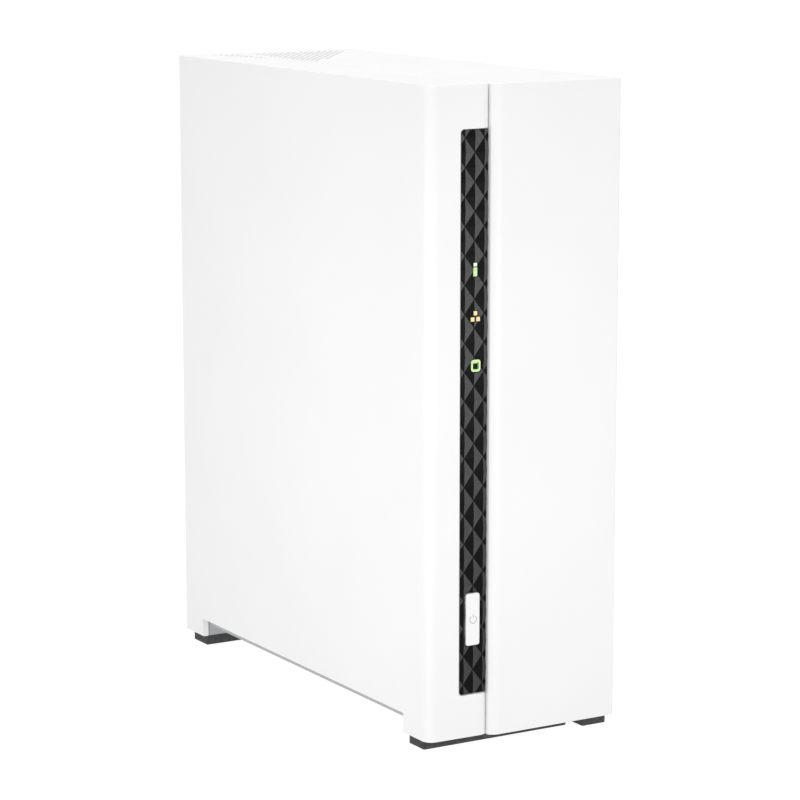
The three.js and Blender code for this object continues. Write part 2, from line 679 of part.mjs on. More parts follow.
// Rear fan: square frame with a motor mount on four arms, and a seven-blade rotor.
function fanFrame() {
  const half = FAN.size / 2;
  const centre = [FAN.x, FAN.z];
  const mountY = [FAN_Y[1] - 2.2, FAN_Y[1]];
  const square = roundedRectangle(grown([FAN.x, FAN.x], half), grown([FAN.z, FAN.z], half), 4);
  const bore = rod("y", centre, FAN.bore, grown(FAN_Y, 1), 40);
  const armHalf = 1.2;
  const upright = block(grown([FAN.x, FAN.x], armHalf), mountY, grown([FAN.z, FAN.z], half - 1));
  const level = block(grown([FAN.x, FAN.x], half - 1), mountY, grown([FAN.z, FAN.z], armHalf));
  const ring = prism(square, "y", FAN_Y).subtract(bore);
  const whole = joined([ring, upright, level, rod("y", centre, HUB_RADIUS + 0.5, mountY)]);
  return cut(whole, [
    rod("y", centre, 1.35, [mountY[0] - 1, mountY[1] - 0.5], 12),
    ...FAN_CORNERS.map((at) => rod("y", at, 2.2, grown(FAN_Y, 1), 12)),
  ]);
}

function fanRotor() {
  const blades = 7;
  const hubY = [FAN_Y[0] + 0.8, FAN_Y[1] - 2.2 - GAP];
  const middle = (hubY[0] + hubY[1]) / 2;
  const parts = [
    rod("y", [FAN.x, FAN.z], HUB_RADIUS, hubY, 28),
    rod("y", [FAN.x, FAN.z], 1, [hubY[1] - 1, hubY[1] + 1.5], 12),
  ];
  const inner = HUB_RADIUS - 1;
  const outer = FAN.bore - 1.2;
  for (let i = 0; i < blades; i += 1) {
    const blade = new THREE.BoxGeometry(outer - inner, 1.2, 11);
    blade.rotateX(THREE.MathUtils.degToRad(50));
    blade.translate((inner + outer) / 2, 0, 0);
    blade.rotateY((i * 2 * Math.PI) / blades);
    parts.push(solid(blade.translate(FAN.x, middle, FAN.z)));
  }
  return joined(parts);
}

function fanScrew(at) {
  const seat = PANEL[1] + GAP;
  const head = rod("y", at, 3, [seat, seat + 1.8], 20);
  const shank = rod("y", at, 1.8, [seat - 9, seat + 0.5], 12);
  const [x, z] = at;
  const recessY = [seat + 1, seat + 3];
  return cut(head.add(shank), [
    block(grown([x, x], 1.8), recessY, grown([z, z], 0.4)),
    block(grown([x, x], 0.4), recessY, grown([z, z], 1.8)),
  ]);
}

const FAN_HEADER = { y: [40.5, 50.5], z: [104, 110] };

function fanHeader() {
  return block([ON_BOARD, ON_BOARD + 5.6], FAN_HEADER.y, FAN_HEADER.z);
}

function fanPlug() {
  const start = ON_BOARD + 5.6 + GAP;
  return block([start, start + 5.5], grown(FAN_HEADER.y, -0.5), grown(FAN_HEADER.z, -0.5));
}

function fanLead() {
  const plugEnd = ON_BOARD + 11.4 + GAP;
  const z = (FAN_HEADER.z[0] + FAN_HEADER.z[1]) / 2;
  const y = (FAN_HEADER.y[0] + FAN_HEADER.y[1]) / 2;
  const route = new THREE.CatmullRomCurve3([
    new THREE.Vector3(-18, 62, FAN.z - FAN.size / 2 - GAP),
    new THREE.Vector3(-18, 62, 122),
    new THREE.Vector3(-13, 57, 114),
    new THREE.Vector3(-7, 50, 108.5),
    new THREE.Vector3(plugEnd + 2.5, y + 0.4, z),
    new THREE.Vector3(plugEnd, y, z),
  ]);
  const geometry = new THREE.ExtrudeGeometry(circle(0, 0, 1.2), {
    extrudePath: route,
    steps: 22,
    curveSegments: 4,
    bevelEnabled: false,
  });
  return solid(geometry);
}

function foot([x0, x1], [y0, y1]) {
  return prism(roundedRectangle([x0, x1], [y0, y1], 0.6), "z", [0, FOOT_HEIGHT - GAP]);
}

const LONG_FOOT = [LEFT + 1.7, 19.3];
const SMALL_FOOT = [22.45, 30.7];
const REAR_FOOT_Y = [BACK - 11.4, BACK - 2.1];
const LONG_FOOT_Y = [FRONT + 7.1, FRONT + 15.4];
const SMALL_FOOT_Y = [FRONT + 3.5, FRONT + 11.5];

// Looks: colour, roughness and metalness of each piece.
const WHITE = { color: 0xf2f2f0, roughness: 0.45, metalness: 0 };
const GREY = { color: 0x8d8f90, roughness: 0.6, metalness: 0 };
const BLACK = { color: 0x141415, roughness: 0.2, metalness: 0 };
const RUBBER = { color: 0x3c3c3d, roughness: 0.85, metalness: 0 };
const CLEAR = { color: 0xe8f4ea, roughness: 0.25, metalness: 0 };
const CIRCUIT = { color: 0x1d5a34, roughness: 0.5, metalness: 0 };
const PACKAGE = { color: 0x1c1c1e, roughness: 0.55, metalness: 0 };
const STEEL = { color: 0xb9bcbf, roughness: 0.35, metalness: 1 };
const ALUMINIUM = { color: 0xc9cbcd, roughness: 0.4, metalness: 1 };

function piece(name, shape, look) {
  const { vertProperties, triVerts } = shape.getMesh();
  const geometry = new THREE.BufferGeometry();
  geometry.setAttribute("position", new THREE.BufferAttribute(vertProperties, 3));
  geometry.setIndex(new THREE.BufferAttribute(triVerts, 1));
  geometry.computeVertexNormals();
  const mesh = new THREE.Mesh(geometry, new THREE.MeshStandardMaterial({ ...look, flatShading: true }));
  mesh.name = name;
  return mesh;
}

const unit = new THREE.Group();
unit.add(
  piece("chassis_shell", chassisShell(), WHITE),
  piece("base_tray", baseTray(), GREY),
  piece("rear_panel", rearPanel(), WHITE),
  piece("right_cover", rightCover(), WHITE),
  piece("front_trim", frontTrim(), BLACK),
  piece("status_light_pipe", statusLightPipe(), CLEAR),
  piece("network_light_pipe", networkLightPipe(), CLEAR),
  piece("drive_light_pipe", driveLightPipe(), CLEAR),
  piece("power_button", powerButton(), WHITE),
  piece("power_switch", powerSwitch(), PACKAGE),
  piece("power_switch_plunger", powerSwitchPlunger(), BLACK),
  piece("front_io_board", frontIoBoard(), CIRCUIT),
  piece("front_io_header", frontIoHeader(), PACKAGE),
  piece("status_led", led(STATUS), CLEAR),
  piece("network_led", led(NETWORK), CLEAR),
  piece("drive_led", led(ACTIVITY), CLEAR),
  piece("mainboard", mainboard(), CIRCUIT),
  piece("processor", chip(PROCESSOR_HEIGHT, [-8.5, 8.5], [53.5, 70.5]), PACKAGE),
  piece("heatsink", heatsink(), ALUMINIUM),
  piece("memory_chip_1", chip(1.1, [-36, -27], [46, 59]), PACKAGE),
  piece("memory_chip_2", chip(1.1, [-36, -27], [64, 77]), PACKAGE),
  piece("coin_cell_holder", coinCellHolder(), PACKAGE),
  piece("coin_cell", coinCell(), STEEL),
  piece("power_inductor", powerInductor(), PACKAGE),
  piece("capacitor_1", capacitor([40, 22]), ALUMINIUM),
  piece("capacitor_2", capacitor([40, 32]), ALUMINIUM),
  piece("lan_jack", networkJack(), STEEL),
  piece("usb_port_lower", usbPort(USB.low), STEEL),
  piece("usb_port_upper", usbPort(USB.high), STEEL),
  piece("dc_jack", powerInlet(), PACKAGE),
  piece("reset_switch", resetSwitch(), PACKAGE),
  piece("reset_plunger", resetPlunger(), BLACK),
  piece("riser_socket", riserSocket(), PACKAGE),
  piece("sata_riser", sataRiser(), CIRCUIT),
  piece("sata_receptacle", sataReceptacle(), PACKAGE),
  piece("drive_bracket", driveBracket(), STEEL),
  piece("drive_body", driveBody(), ALUMINIUM),
  piece("drive_lid", driveLid(), ALUMINIUM),
  piece("drive_circuit_board", driveCircuitBoard(), CIRCUIT),
  piece("fan_frame", fanFrame(), PACKAGE),
  piece("fan_rotor", fanRotor(), PACKAGE),
  piece("fan_header", fanHeader(), WHITE),
  piece("fan_plug", fanPlug(), WHITE),
  piece("fan_lead", fanLead(), BLACK),
  piece("thumb_screw", thumbScrew(), STEEL),
  piece("base_front_foot", foot(LONG_FOOT, LONG_FOOT_Y), RUBBER),
  piece("base_rear_foot", foot(LONG_FOOT, REAR_FOOT_Y), RUBBER),
  piece("cover_front_foot", foot(SMALL_FOOT, SMALL_FOOT_Y), RUBBER),
  piece("cover_rear_foot", foot(SMALL_FOOT, REAR_FOOT_Y), RUBBER),
  ...DRIVE_SCREWS.map((at, i) => piece(`drive_screw_${i + 1}`, driveScrew(at), STEEL)),
  ...FAN_CORNERS.map((at, i) => piece(`fan_screw_${i + 1}`, fanScrew(at), STEEL)),
  ...STANDOFFS.slice(0, 2).map((at, i) => piece(`mainboard_screw_${i + 1}`, mainboardScrew(at), STEEL)),
);

export default unit;
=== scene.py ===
"""Looks of the one-bay desktop storage unit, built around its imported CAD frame.

Metres, +Z up, front towards -Y. Sizes written below are in millimetres and go through MM.
"""

import json
import math

import bmesh
import bpy
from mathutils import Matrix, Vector

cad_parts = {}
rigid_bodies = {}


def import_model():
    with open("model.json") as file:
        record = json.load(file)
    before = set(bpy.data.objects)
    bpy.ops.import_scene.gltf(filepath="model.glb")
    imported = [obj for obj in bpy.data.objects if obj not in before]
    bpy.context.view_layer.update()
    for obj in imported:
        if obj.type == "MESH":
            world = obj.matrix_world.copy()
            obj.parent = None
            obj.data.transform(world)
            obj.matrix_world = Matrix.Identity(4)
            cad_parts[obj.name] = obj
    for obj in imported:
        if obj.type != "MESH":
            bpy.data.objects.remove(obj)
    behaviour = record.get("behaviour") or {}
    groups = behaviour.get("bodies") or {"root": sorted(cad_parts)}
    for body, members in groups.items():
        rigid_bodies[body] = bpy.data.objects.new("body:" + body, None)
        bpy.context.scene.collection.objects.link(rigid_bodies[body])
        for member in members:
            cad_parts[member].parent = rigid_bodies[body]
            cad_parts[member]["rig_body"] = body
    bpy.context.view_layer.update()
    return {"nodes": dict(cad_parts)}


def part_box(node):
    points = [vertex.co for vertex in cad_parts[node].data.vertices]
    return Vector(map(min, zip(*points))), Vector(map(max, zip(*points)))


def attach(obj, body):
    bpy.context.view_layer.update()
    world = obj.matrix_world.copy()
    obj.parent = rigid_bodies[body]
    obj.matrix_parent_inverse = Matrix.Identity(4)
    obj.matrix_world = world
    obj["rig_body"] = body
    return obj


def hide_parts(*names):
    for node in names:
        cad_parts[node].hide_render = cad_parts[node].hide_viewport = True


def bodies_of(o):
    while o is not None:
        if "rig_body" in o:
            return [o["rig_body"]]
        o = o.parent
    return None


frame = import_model()
nodes = frame["nodes"]

MM = 0.001
CAD_GAP = 0.3  # between pieces that touch on the real object, in millimetres
SHARP = math.radians(25)

# The camera: where it looks, from which side, and how long its lens is.
CAMERA_AIM = Vector((2.36, -4.75, 87.77)) * MM
CAMERA_AZIMUTH = math.radians(-30.95)
CAMERA_ELEVATION = math.radians(10.31)
CAMERA_DISTANCE = 900.4 * MM
CAMERA_LENS = 133.69

# The front strip's rhombic lattice, and the lit symbols in it.
RHOMBUS_X = -16.15
RHOMBUS_Z = 165.7
RHOMBUS_HALF_WIDTH = 3.14
RHOMBUS_HALF_HEIGHT = 4.08
RHOMBUS_RELIEF = 0.35
GROOVE = 0.07
# Painted shade on the strip's facets: darker towards the foot of the strip, between these two heights.
FACET_PAINTED_SHADE = 0.42  # painted shade: brightness left at the lower of the two heights; it is whole at the upper
FACET_PAINTED_SHADE_Z = (16, 120)
FACET_TILT = 0.03  # least sideways slope of the facets that are painted lighter, as painted light
WINDOW_GAP = 0.2

# Colours, linear.
WHITE = (0.82, 0.819, 0.82)
TRAY_GREY = (0.40, 0.41, 0.42)
RUBBER_GREY = (0.05, 0.05, 0.052)
PACKAGE_BLACK = (0.018, 0.018, 0.02)
STEEL = (0.62, 0.63, 0.64)
ALUMINIUM = (0.72, 0.73, 0.74)
GOLD = (0.83, 0.62, 0.28)
NYLON = (0.78, 0.76, 0.70)

PIECES_OF_SLOT = {
    "casing": ["chassis_shell", "right_cover", "rear_panel"],
    "tray": ["base_tray"],
    "strip": ["front_trim"],
    "button": ["power_button"],
    "light_pipe": ["status_light_pipe", "network_light_pipe", "drive_light_pipe"],
    "led": ["status_led", "network_led", "drive_led"],
    "circuit_board": ["mainboard", "front_io_board", "sata_riser", "drive_circuit_board"],
    "component": [
        "processor",
        "memory_chip_1",
        "memory_chip_2",
        "coin_cell_holder",
        "power_inductor",
        "power_switch",
        "power_switch_plunger",
        "reset_switch",
        "reset_plunger",
        "dc_jack",
        "front_io_header",
        "riser_socket",
        "sata_receptacle",
    ],
    "shield": ["lan_jack", "usb_port_lower", "usb_port_upper"],
    "fastener": [
        "thumb_screw",
        *[f"drive_screw_{i}" for i in range(1, 5)],
        *[f"fan_screw_{i}" for i in range(1, 5)],
        *[f"mainboard_screw_{i}" for i in range(1, 3)],
    ],
    "bracket": ["drive_bracket"],
    "casting": ["drive_body"],
    "lid": ["drive_lid"],
    "heatsink": ["heatsink"],
    "capacitor": ["capacitor_1", "capacitor_2"],
    "coin_cell": ["coin_cell"],
    "fan": ["fan_frame", "fan_rotor"],
    "plug": ["fan_header", "fan_plug"],
    "lead": ["fan_lead"],
    "foot": ["base_front_foot", "base_rear_foot", "cover_front_foot", "cover_rear_foot"],
}
SLOT_OF = {node: slot for slot, members in PIECES_OF_SLOT.items() for node in members}


# ---------------------------------------------------------------------------------------------
# Materials: every one is a small network on object coordinates.


def shader(name, colour, roughness, metallic=0.0, **constants):
    """A new material with a bare Principled surface: (material, tree, surface)."""
    material = bpy.data.materials.new(name)
    material.use_nodes = True
    tree = material.node_tree
    surface = tree.nodes["Principled BSDF"]
    surface.inputs["Base Color"].default_value = (*colour, 1)
    surface.inputs["Roughness"].default_value = roughness
    surface.inputs["Metallic"].default_value = metallic
    for socket, value in constants.items():
        surface.inputs[socket.replace("_", " ")].default_value = value
    return material, tree, surface


def node(tree, kind, inputs, **settings):
    """A node with its settings, its inputs set to values or linked to other nodes' outputs."""
    made = tree.nodes.new(kind)
    for setting, value in settings.items():
        setattr(made, setting, value)
    for socket, value in inputs.items():
        if isinstance(value, bpy.types.NodeSocket):
            tree.links.new(value, made.inputs[socket])
        else:
            made.inputs[socket].default_value = value
    return made


def place(tree, stretch=(1, 1, 1)):
    """Object coordinates, stretched so that a pattern can run along one axis."""
    coordinates = node(tree, "ShaderNodeTexCoord", {}).outputs["Object"]
    return node(tree, "ShaderNodeMapping", {"Vector": coordinates, "Scale": stretch}).outputs["Vector"]


def noise(tree, where, size, detail=3.0):
    """Noise whose features are about size millimetres across."""
    inputs = {"Vector": where, "Scale": 1 / (size * MM), "Detail": detail}
    return node(tree, "ShaderNodeTexNoise", inputs).outputs["Fac"]


def ramp(tree, factor, low, high, start=0.35, end=0.65):
    """A colour ramp from low to high over the middle of a noise's range."""
    made = node(tree, "ShaderNodeValToRGB", {"Fac": factor})
    first, second = made.color_ramp.elements
    first.position, second.position = start, end
    first.color, second.color = (*low, 1), (*high, 1)
    return made.outputs["Color"]


def spread(tree, factor, low, high):
    """A number between low and high that follows a noise."""
    inputs = {"Value": factor, "From Min": 0.3, "From Max": 0.7, "To Min": low, "To Max": high}
    return node(tree, "ShaderNodeMapRange", inputs).outputs["Result"]


def relief(tree, surface, height, depth):
    """Bump on the surface, depth millimetres deep."""
    inputs = {"Height": height, "Distance": depth * MM, "Strength": 1.0}
    tree.links.new(node(tree, "ShaderNodeBump", inputs).outputs["Normal"], surface.inputs["Normal"])


def scaled(colour, by):
    return tuple(channel * by for channel in colour)


def moulded(name, colour, roughness, grain=0.35, depth=0.012, **constants):
    """Moulded plastic: eroded grain, a little cloudiness and slightly uneven gloss."""
    material, tree, surface = shader(name, colour, roughness, **constants)
    where = place(tree)
    cloud = noise(tree, where, 40)
    tree.links.new(ramp(tree, cloud, scaled(colour, 0.985), colour), surface.inputs["Base Color"])
    gloss = noise(tree, where, 6)
    tree.links.new(
        spread(tree, gloss, roughness - 0.04, roughness + 0.04), surface.inputs["Roughness"]
    )
    relief(tree, surface, noise(tree, where, grain, 2), depth)
    return material


def rubber(name, colour):
    """Rubber: coarse matt grain with a dusting of lighter specks."""
    material, tree, surface = shader(name, colour, 0.8, Specular_IOR_Level=0.3)
    where = place(tree)
    dust = ramp(tree, noise(tree, where, 1.5, 6), colour, scaled(colour, 1.7), 0.45, 0.8)
    tree.links.new(dust, surface.inputs["Base Color"])
    tree.links.new(spread(tree, noise(tree, where, 4), 0.7, 0.9), surface.inputs["Roughness"])
    relief(tree, surface, noise(tree, where, 0.25, 3), 0.04)
    return material


def metal(name, colour, roughness, stretch=(1, 1, 1), grain=0.3, depth=0.006):
    """Metal: its grain runs along the axis with the smallest stretch, with faint handling marks."""
    material, tree, surface = shader(name, colour, roughness, metallic=1.0)
    brushed = noise(tree, place(tree, stretch), grain, 4)
    marks = noise(tree, place(tree), 9, 5)
    tree.links.new(ramp(tree, marks, scaled(colour, 0.86), colour), surface.inputs["Base Color"])
    tree.links.new(
        spread(tree, brushed, roughness - 0.08, roughness + 0.1), surface.inputs["Roughness"]
    )
    relief(tree, surface, brushed, depth)
    return material


def laminate(name):
    """Circuit board: green solder mask over a net of slightly raised copper tracks."""
    mask, track = (0.012, 0.10, 0.04), (0.03, 0.19, 0.08)
    material, tree, surface = shader(name, mask, 0.35)
    where = place(tree)
    inputs = {"Vector": where, "Scale": 1 / (2.6 * MM), "Randomness": 0.9}
    cells = node(tree, "ShaderNodeTexVoronoi", inputs, distance="CHEBYCHEV", feature="F1")
    height = cells.outputs["Distance"]
    tree.links.new(ramp(tree, height, track, mask, 0.3, 0.34), surface.inputs["Base Color"])
    tree.links.new(spread(tree, noise(tree, where, 2), 0.3, 0.42), surface.inputs["Roughness"])
    relief(tree, surface, height, 0.02)
    return material


def facet(name, colour, roughness, specular):
    """Black facet film: fine speckle in a dark ground, with painted shade that darkens it towards the
    foot of the strip.
    """
    material, tree, surface = shader(name, colour, roughness, Specular_IOR_Level=specular)
    where = place(tree)
    speckle = ramp(tree, noise(tree, where, 0.5, 4), scaled(colour, 0.8), scaled(colour, 1.2))
    # Painted shade: the film's colour is scaled down towards the foot of the strip.
    height = node(tree, "ShaderNodeSeparateXYZ", {"Vector": where}).outputs["Z"]
    low, high = (z * MM for z in FACET_PAINTED_SHADE_Z)
    inputs = {"Value": height, "From Min": low, "From Max": high, "To Min": FACET_PAINTED_SHADE}
    share = node(tree, "ShaderNodeMapRange", inputs).outputs["Result"]
    painted_shade_inputs = {"Vector": speckle, "Scale": share}
    painted_shade = node(tree, "ShaderNodeVectorMath", painted_shade_inputs, operation="SCALE").outputs["Vector"]
    tree.links.new(painted_shade, surface.inputs["Base Color"])
    tree.links.new(
        spread(tree, noise(tree, where, 3), roughness - 0.05, roughness + 0.05),
        surface.inputs["Roughness"],
    )
    relief(tree, surface, noise(tree, where, 0.3, 2), 0.003)
    return material


def glow(name, core, rim, strength):
    """Lit plastic: brighter and dimmer patches where the light pipe scatters its light."""
    base = scaled(core, 0.1)
    material, tree, surface = shader(
        name, base, 0.4, Emission_Strength=strength, Specular_IOR_Level=0.1
    )
    light = ramp(tree, noise(tree, place(tree), 1.2, 2), rim, core)
    tree.links.new(light, surface.inputs["Emission Color"])
    return material


LOOKS = {
    "casing": moulded("white_casing", WHITE, 0.42),
    "tray": moulded("grey_tray", TRAY_GREY, 0.6, grain=0.5, depth=0.02),
    "strip": facet("facet_dark", (0.004, 0.004, 0.0045), 0.35, 0.08),
    "button": moulded("white_button", WHITE, 0.38, depth=0.006),
    "light_pipe": moulded(
        "clear_pipe", (0.75, 0.80, 0.76), 0.18, depth=0.002, Transmission_Weight=0.6, IOR=1.49
    ),
    "led": moulded("led_body", (0.80, 0.78, 0.55), 0.3, depth=0.004),
    "circuit_board": laminate("solder_mask"),
    "component": moulded("black_package", PACKAGE_BLACK, 0.5, grain=0.2, depth=0.01),
    "shield": metal("tinned_shield", STEEL, 0.3, (1, 0.08, 1)),
    "fastener": metal("zinc_plate", STEEL, 0.32, grain=0.2),
    "bracket": metal("galvanised_sheet", scaled(STEEL, 0.95), 0.42, (1, 1, 0.1), grain=0.6),
    "casting": metal("cast_aluminium", scaled(ALUMINIUM, 0.8), 0.5, grain=0.5, depth=0.03),
    "lid": metal("pressed_lid", ALUMINIUM, 0.35, (1, 1, 0.06)),
    "heatsink": metal("anodised_fins", scaled(ALUMINIUM, 0.9), 0.4, (1, 1, 0.05)),
    "capacitor": metal("capacitor_can", ALUMINIUM, 0.25, (0.1, 1, 1), grain=0.2),
    "coin_cell": metal("stainless_can", STEEL, 0.22, (1, 0.1, 1), grain=0.2),
    "fan": moulded("fan_plastic", (0.022, 0.022, 0.024), 0.55, grain=0.4, depth=0.012),
    "plug": moulded("natural_nylon", NYLON, 0.45, depth=0.008),
    "lead": moulded("wire_sleeve", (0.02, 0.02, 0.021), 0.5, grain=0.3, depth=0.01),
    "foot": rubber("grey_rubber", RUBBER_GREY),
}
# A lighter copy of the black facet film: painted light for the facets that face right, as if they
# caught more light.
FACET_PAINTED_HIGHLIGHT = facet("facet_painted_highlight", (0.062, 0.062, 0.064), 0.5, 0.35)
GREEN_LIGHT = glow("green_light", (0.72, 0.95, 0.50), (0.55, 0.84, 0.34), 0.95)
PALE_LIGHT = glow("pale_light", (0.95, 1.0, 0.90), (0.88, 0.98, 0.80), 0.95)
AMBER_LIGHT = glow("amber_light", (1.0, 0.86, 0.52), (0.95, 0.74, 0.34), 0.95)
# A faint green glow that also serves as painted shade: the dark halo of the recessed bezel round each
# symbol.
DIM_GREEN_AND_SHADE = glow("dim_green_glow_and_painted_shade", (0.010, 0.030, 0.007), (0.004, 0.014, 0.003), 1.0)
CONTACT_GOLD = metal("contact_gold", GOLD, 0.25, (1, 0.1, 1), grain=0.2)
SYMBOL_GREY = moulded("symbol_grey", (0.50, 0.50, 0.50), 0.45, depth=0.004)
TONGUE_BLACK = moulded("tongue_plastic", (0.012, 0.012, 0.013), 0.45, depth=0.006)
PORT_BLUE = moulded("port_blue", (0.012, 0.09, 0.32), 0.4, depth=0.006)


# ---------------------------------------------------------------------------------------------
# Mesh helpers.


def shown(name, mesh, body, slot):
    """A finished piece: in the scene, shaded, in its slot's material, riding on its body."""
    mesh.shade_smooth()
    mesh.set_sharp_from_angle(angle=SHARP)
    piece = bpy.data.objects.new(name, mesh)
    bpy.context.scene.collection.objects.link(piece)
    if not mesh.materials:
        mesh.materials.append(LOOKS[slot])
    flat_faces = piece.modifiers.new("flat_faces", "WEIGHTED_NORMAL")
    flat_faces.keep_sharp = True
    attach(piece, body)
    return piece


def to_mesh(bm, name):
    bmesh.ops.recalc_face_normals(bm, faces=bm.faces)
    mesh = bpy.data.meshes.new(name)
    bm.to_mesh(mesh)
    bm.free()
    return mesh


def merged(bm):
    """bm with its coinciding vertices merged."""
    bmesh.ops.remove_doubles(bm, verts=bm.verts, dist=0.002 * MM)
    bmesh.ops.dissolve_degenerate(bm, dist=0.001 * MM, edges=bm.edges)
    return bm


def tidied(bm):
    """bm merged and with its flat faces whole again."""
    merged(bm)
    bmesh.ops.dissolve_limit(bm, angle_limit=math.radians(0.5), verts=bm.verts, edges=bm.edges)
    return bm


def cad_shape(name):
    """A CAD node's shape with its flat faces whole again, to be worked on as a new piece."""
    bm = bmesh.new()
    bm.from_mesh(nodes[name].data)
    return tidied(bm)


def soften(bm, width, segments=2, where=None):
    """Rounds the outer edges, or those that where() picks."""
    edges = [
        edge
        for edge in bm.edges
        if edge.is_manifold
        and edge.is_convex
        and edge.calc_face_angle() > SHARP
        and (where is None or where(edge))
    ]
    bmesh.ops.bevel(
        bm,
        geom=edges,
        offset=width * MM,
        offset_type="OFFSET",
        segments=segments,
        profile=0.5,
        affect="EDGES",
        clamp_overlap=False,
        miter_outer="ARC",
    )


def body_of(name):
    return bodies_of(nodes[name])[0]


def stand_for(name, bm):
    """Shows bm in place of the CAD node, on the node's body and in the material of the node's slot."""
    piece = shown(f"{name}_finished", to_mesh(bm, name), body_of(name), SLOT_OF[name])
    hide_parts(name)
    return piece


def extra(name, bm, body, slot, material):
    """A detail with no CAD node of its own."""
    mesh = to_mesh(bm, name)
    mesh.materials.append(material)
    shown(name, mesh, body, slot)


def faces_front(normal):
    return normal.y < -0.9


def paint(piece, material, where):
    """Gives a further material to the faces whose middle and normal where() accepts."""
    piece.data.materials.append(material)
    index = len(piece.data.materials) - 1
    for face in piece.data.polygons:
        if where(face.center / MM, face.normal):
            face.material_index = index


def carve(bm, cutter, operation="DIFFERENCE"):
    """bm after a boolean with another closed bmesh, by Blender's exact solver."""
    pair = []
    for shape, label in ((bm, "kept"), (cutter, "cutter")):
        piece = bpy.data.objects.new(label, to_mesh(shape, label))
        bpy.context.scene.collection.objects.link(piece)
        pair.append(piece)
    kept, tool = pair
    step = kept.modifiers.new("cut", "BOOLEAN")
    step.operation = operation
    step.solver = "EXACT"
    step.object = tool
    bpy.context.view_layer.update()
    result = bpy.data.meshes.new_from_object(
        kept.evaluated_get(bpy.context.evaluated_depsgraph_get())
    )
    made = bmesh.new()
    made.from_mesh(result)
    for piece in pair:
        old = piece.data
        bpy.data.objects.remove(piece)
        bpy.data.meshes.remove(old)
    bpy.data.meshes.remove(result)
    return made


def point(axis, u, v, w):
    """A point with w along axis, and u and v along the two others in order, from millimetres."""
    return Vector({"x": (w, u, v), "y": (u, w, v), "z": (u, v, w)}[axis]) * MM


def loft(bm, rings):
    """A closed skin through rings of points, with a face over each end."""
    rows = [[bm.verts.new(p) for p in ring] for ring in rings]
    for low, high in zip(rows, rows[1:]):
        for i in range(len(low)):
            j = (i + 1) % len(low)
            bm.faces.new((low[i], low[j], high[j], high[i]))
    bm.faces.new(list(reversed(rows[0])))
    bm.faces.new(rows[-1])
    return bm


def rounded_rectangle(u, v, radius, steps=8):
    """Outline of a rectangle with rounded corners, anticlockwise, in millimetres."""
    corners = [
        (u[1] - radius, v[0] + radius, -90),
        (u[1] - radius, v[1] - radius, 0),
        (u[0] + radius, v[1] - radius, 90),
        (u[0] + radius, v[0] + radius, 180),
    ]
    points = []
    for cu, cv, start in corners:
        for i in range(steps + 1):
            angle = math.radians(start + 90 * i / steps)
            points.append((cu + radius * math.cos(angle), cv + radius * math.sin(angle)))
    return points


def shrunk(ends, by):
    return ends[0] + by, ends[1] - by


def pad(bm, axis, u, v, w, radius, fillet=0.0, steps=4):
    """A block with rounded corners along axis, and a fillet round both of its end faces."""
    insets = [(fillet, 0.0)]
    if fillet:
        angles = [math.radians(90 * i / steps) for i in range(steps + 1)]
        insets = [(fillet * (1 - math.sin(a)), fillet * (1 - math.cos(a))) for a in angles]
    rings = []
    for end, side in ((w[0], 1), (w[1], -1)):
        stack = []
        for inset, rise in insets:
            outline = rounded_rectangle(shrunk(u, inset), shrunk(v, inset), radius - inset)
            stack.append([point(axis, a, b, end + side * rise) for a, b in outline])
        rings += stack if side > 0 else list(reversed(stack))
    return loft(bm, rings)


def turned(bm, axis, centre, profile, sides=48, knurl=0.0, ridges=0):
    """A turned solid: profile lists (radius, place along axis); ridges can knurl the wide rings."""
    widest = max(radius for radius, _ in profile)
    rings = []
    for radius, along in profile:
        ring = []
        for i in range(sides):
            angle = 2 * math.pi * i / sides
            ripple = knurl * (1 + math.cos(ridges * angle)) / 2 if radius > 0.9 * widest else 0
            u = centre[0] + (radius - ripple) * math.cos(angle)
            v = centre[1] + (radius - ripple) * math.sin(angle)
            ring.append(point(axis, u, v, along))
        rings.append(ring)
    return loft(bm, rings)


def block(bm, x, y, z):
    """A box from its spans in millimetres, used as a cutter or as one limb of a larger piece."""
    corners = [(x[0], y[0]), (x[1], y[0]), (x[1], y[1]), (x[0], y[1])]
    return loft(bm, [[point("z", a, b, height) for a, b in corners] for height in z])


def span(name, axis):
    """A CAD node's extent along an axis, in millimetres."""
    low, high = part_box(name)
    index = "xyz".index(axis)
    return low[index] / MM, high[index] / MM


# ---------------------------------------------------------------------------------------------
# Casing.

STRIP_X = span("front_trim", "x")
STRIP_Z = span("front_trim", "z")
STRIP_BACK = span("front_trim", "y")[1]
STRIP_FACE = span("status_light_pipe", "y")[0]
HEIGHT = span("chassis_shell", "z")[1]
LEFT = span("chassis_shell", "x")[0]
BACK = span("chassis_shell", "y")[1]
COVER_RIGHT = span("right_cover", "x")[1]
COVER_FRONT = span("right_cover", "y")[0]
FACE_SEAM = span("chassis_shell", "y")[0]
FACE_CORNER = FACE_SEAM + 0.4  # the left face leans back towards its outer corner
TOP_WALL = 2.0
SEAM = span("right_cover", "x")[0]
ON_PLANE = 0.05  # an edge this near a plane counts as lying in it
CASING_EDGE = 0.35
FRONT_ZONE = 6  # the rounded vertical edges lie within this distance of the cover's front
LOWER_RIM = 4  # height below which the front's edges are broken too
CORNER = 3.0  # radius of the left casing's vertical edge
SEAM_ROUND = 3.4  # width of the cover's rounding into the seam
RIGHT_ROUND = 1  # radius of the cover's right front edge
HOLD = 0.6  # distance of the edges that keep a flat face flat beside a round one
SEAM_CURVE = 3.2  # how far the front face curves before the seam, and by how much
SEAM_DROP = 0.5
SEAM_CURVE_STEPS = 8
SEAM_SKIN = FACE_SEAM + CASING_EDGE + 0.02  # the front face's vertices lie before this
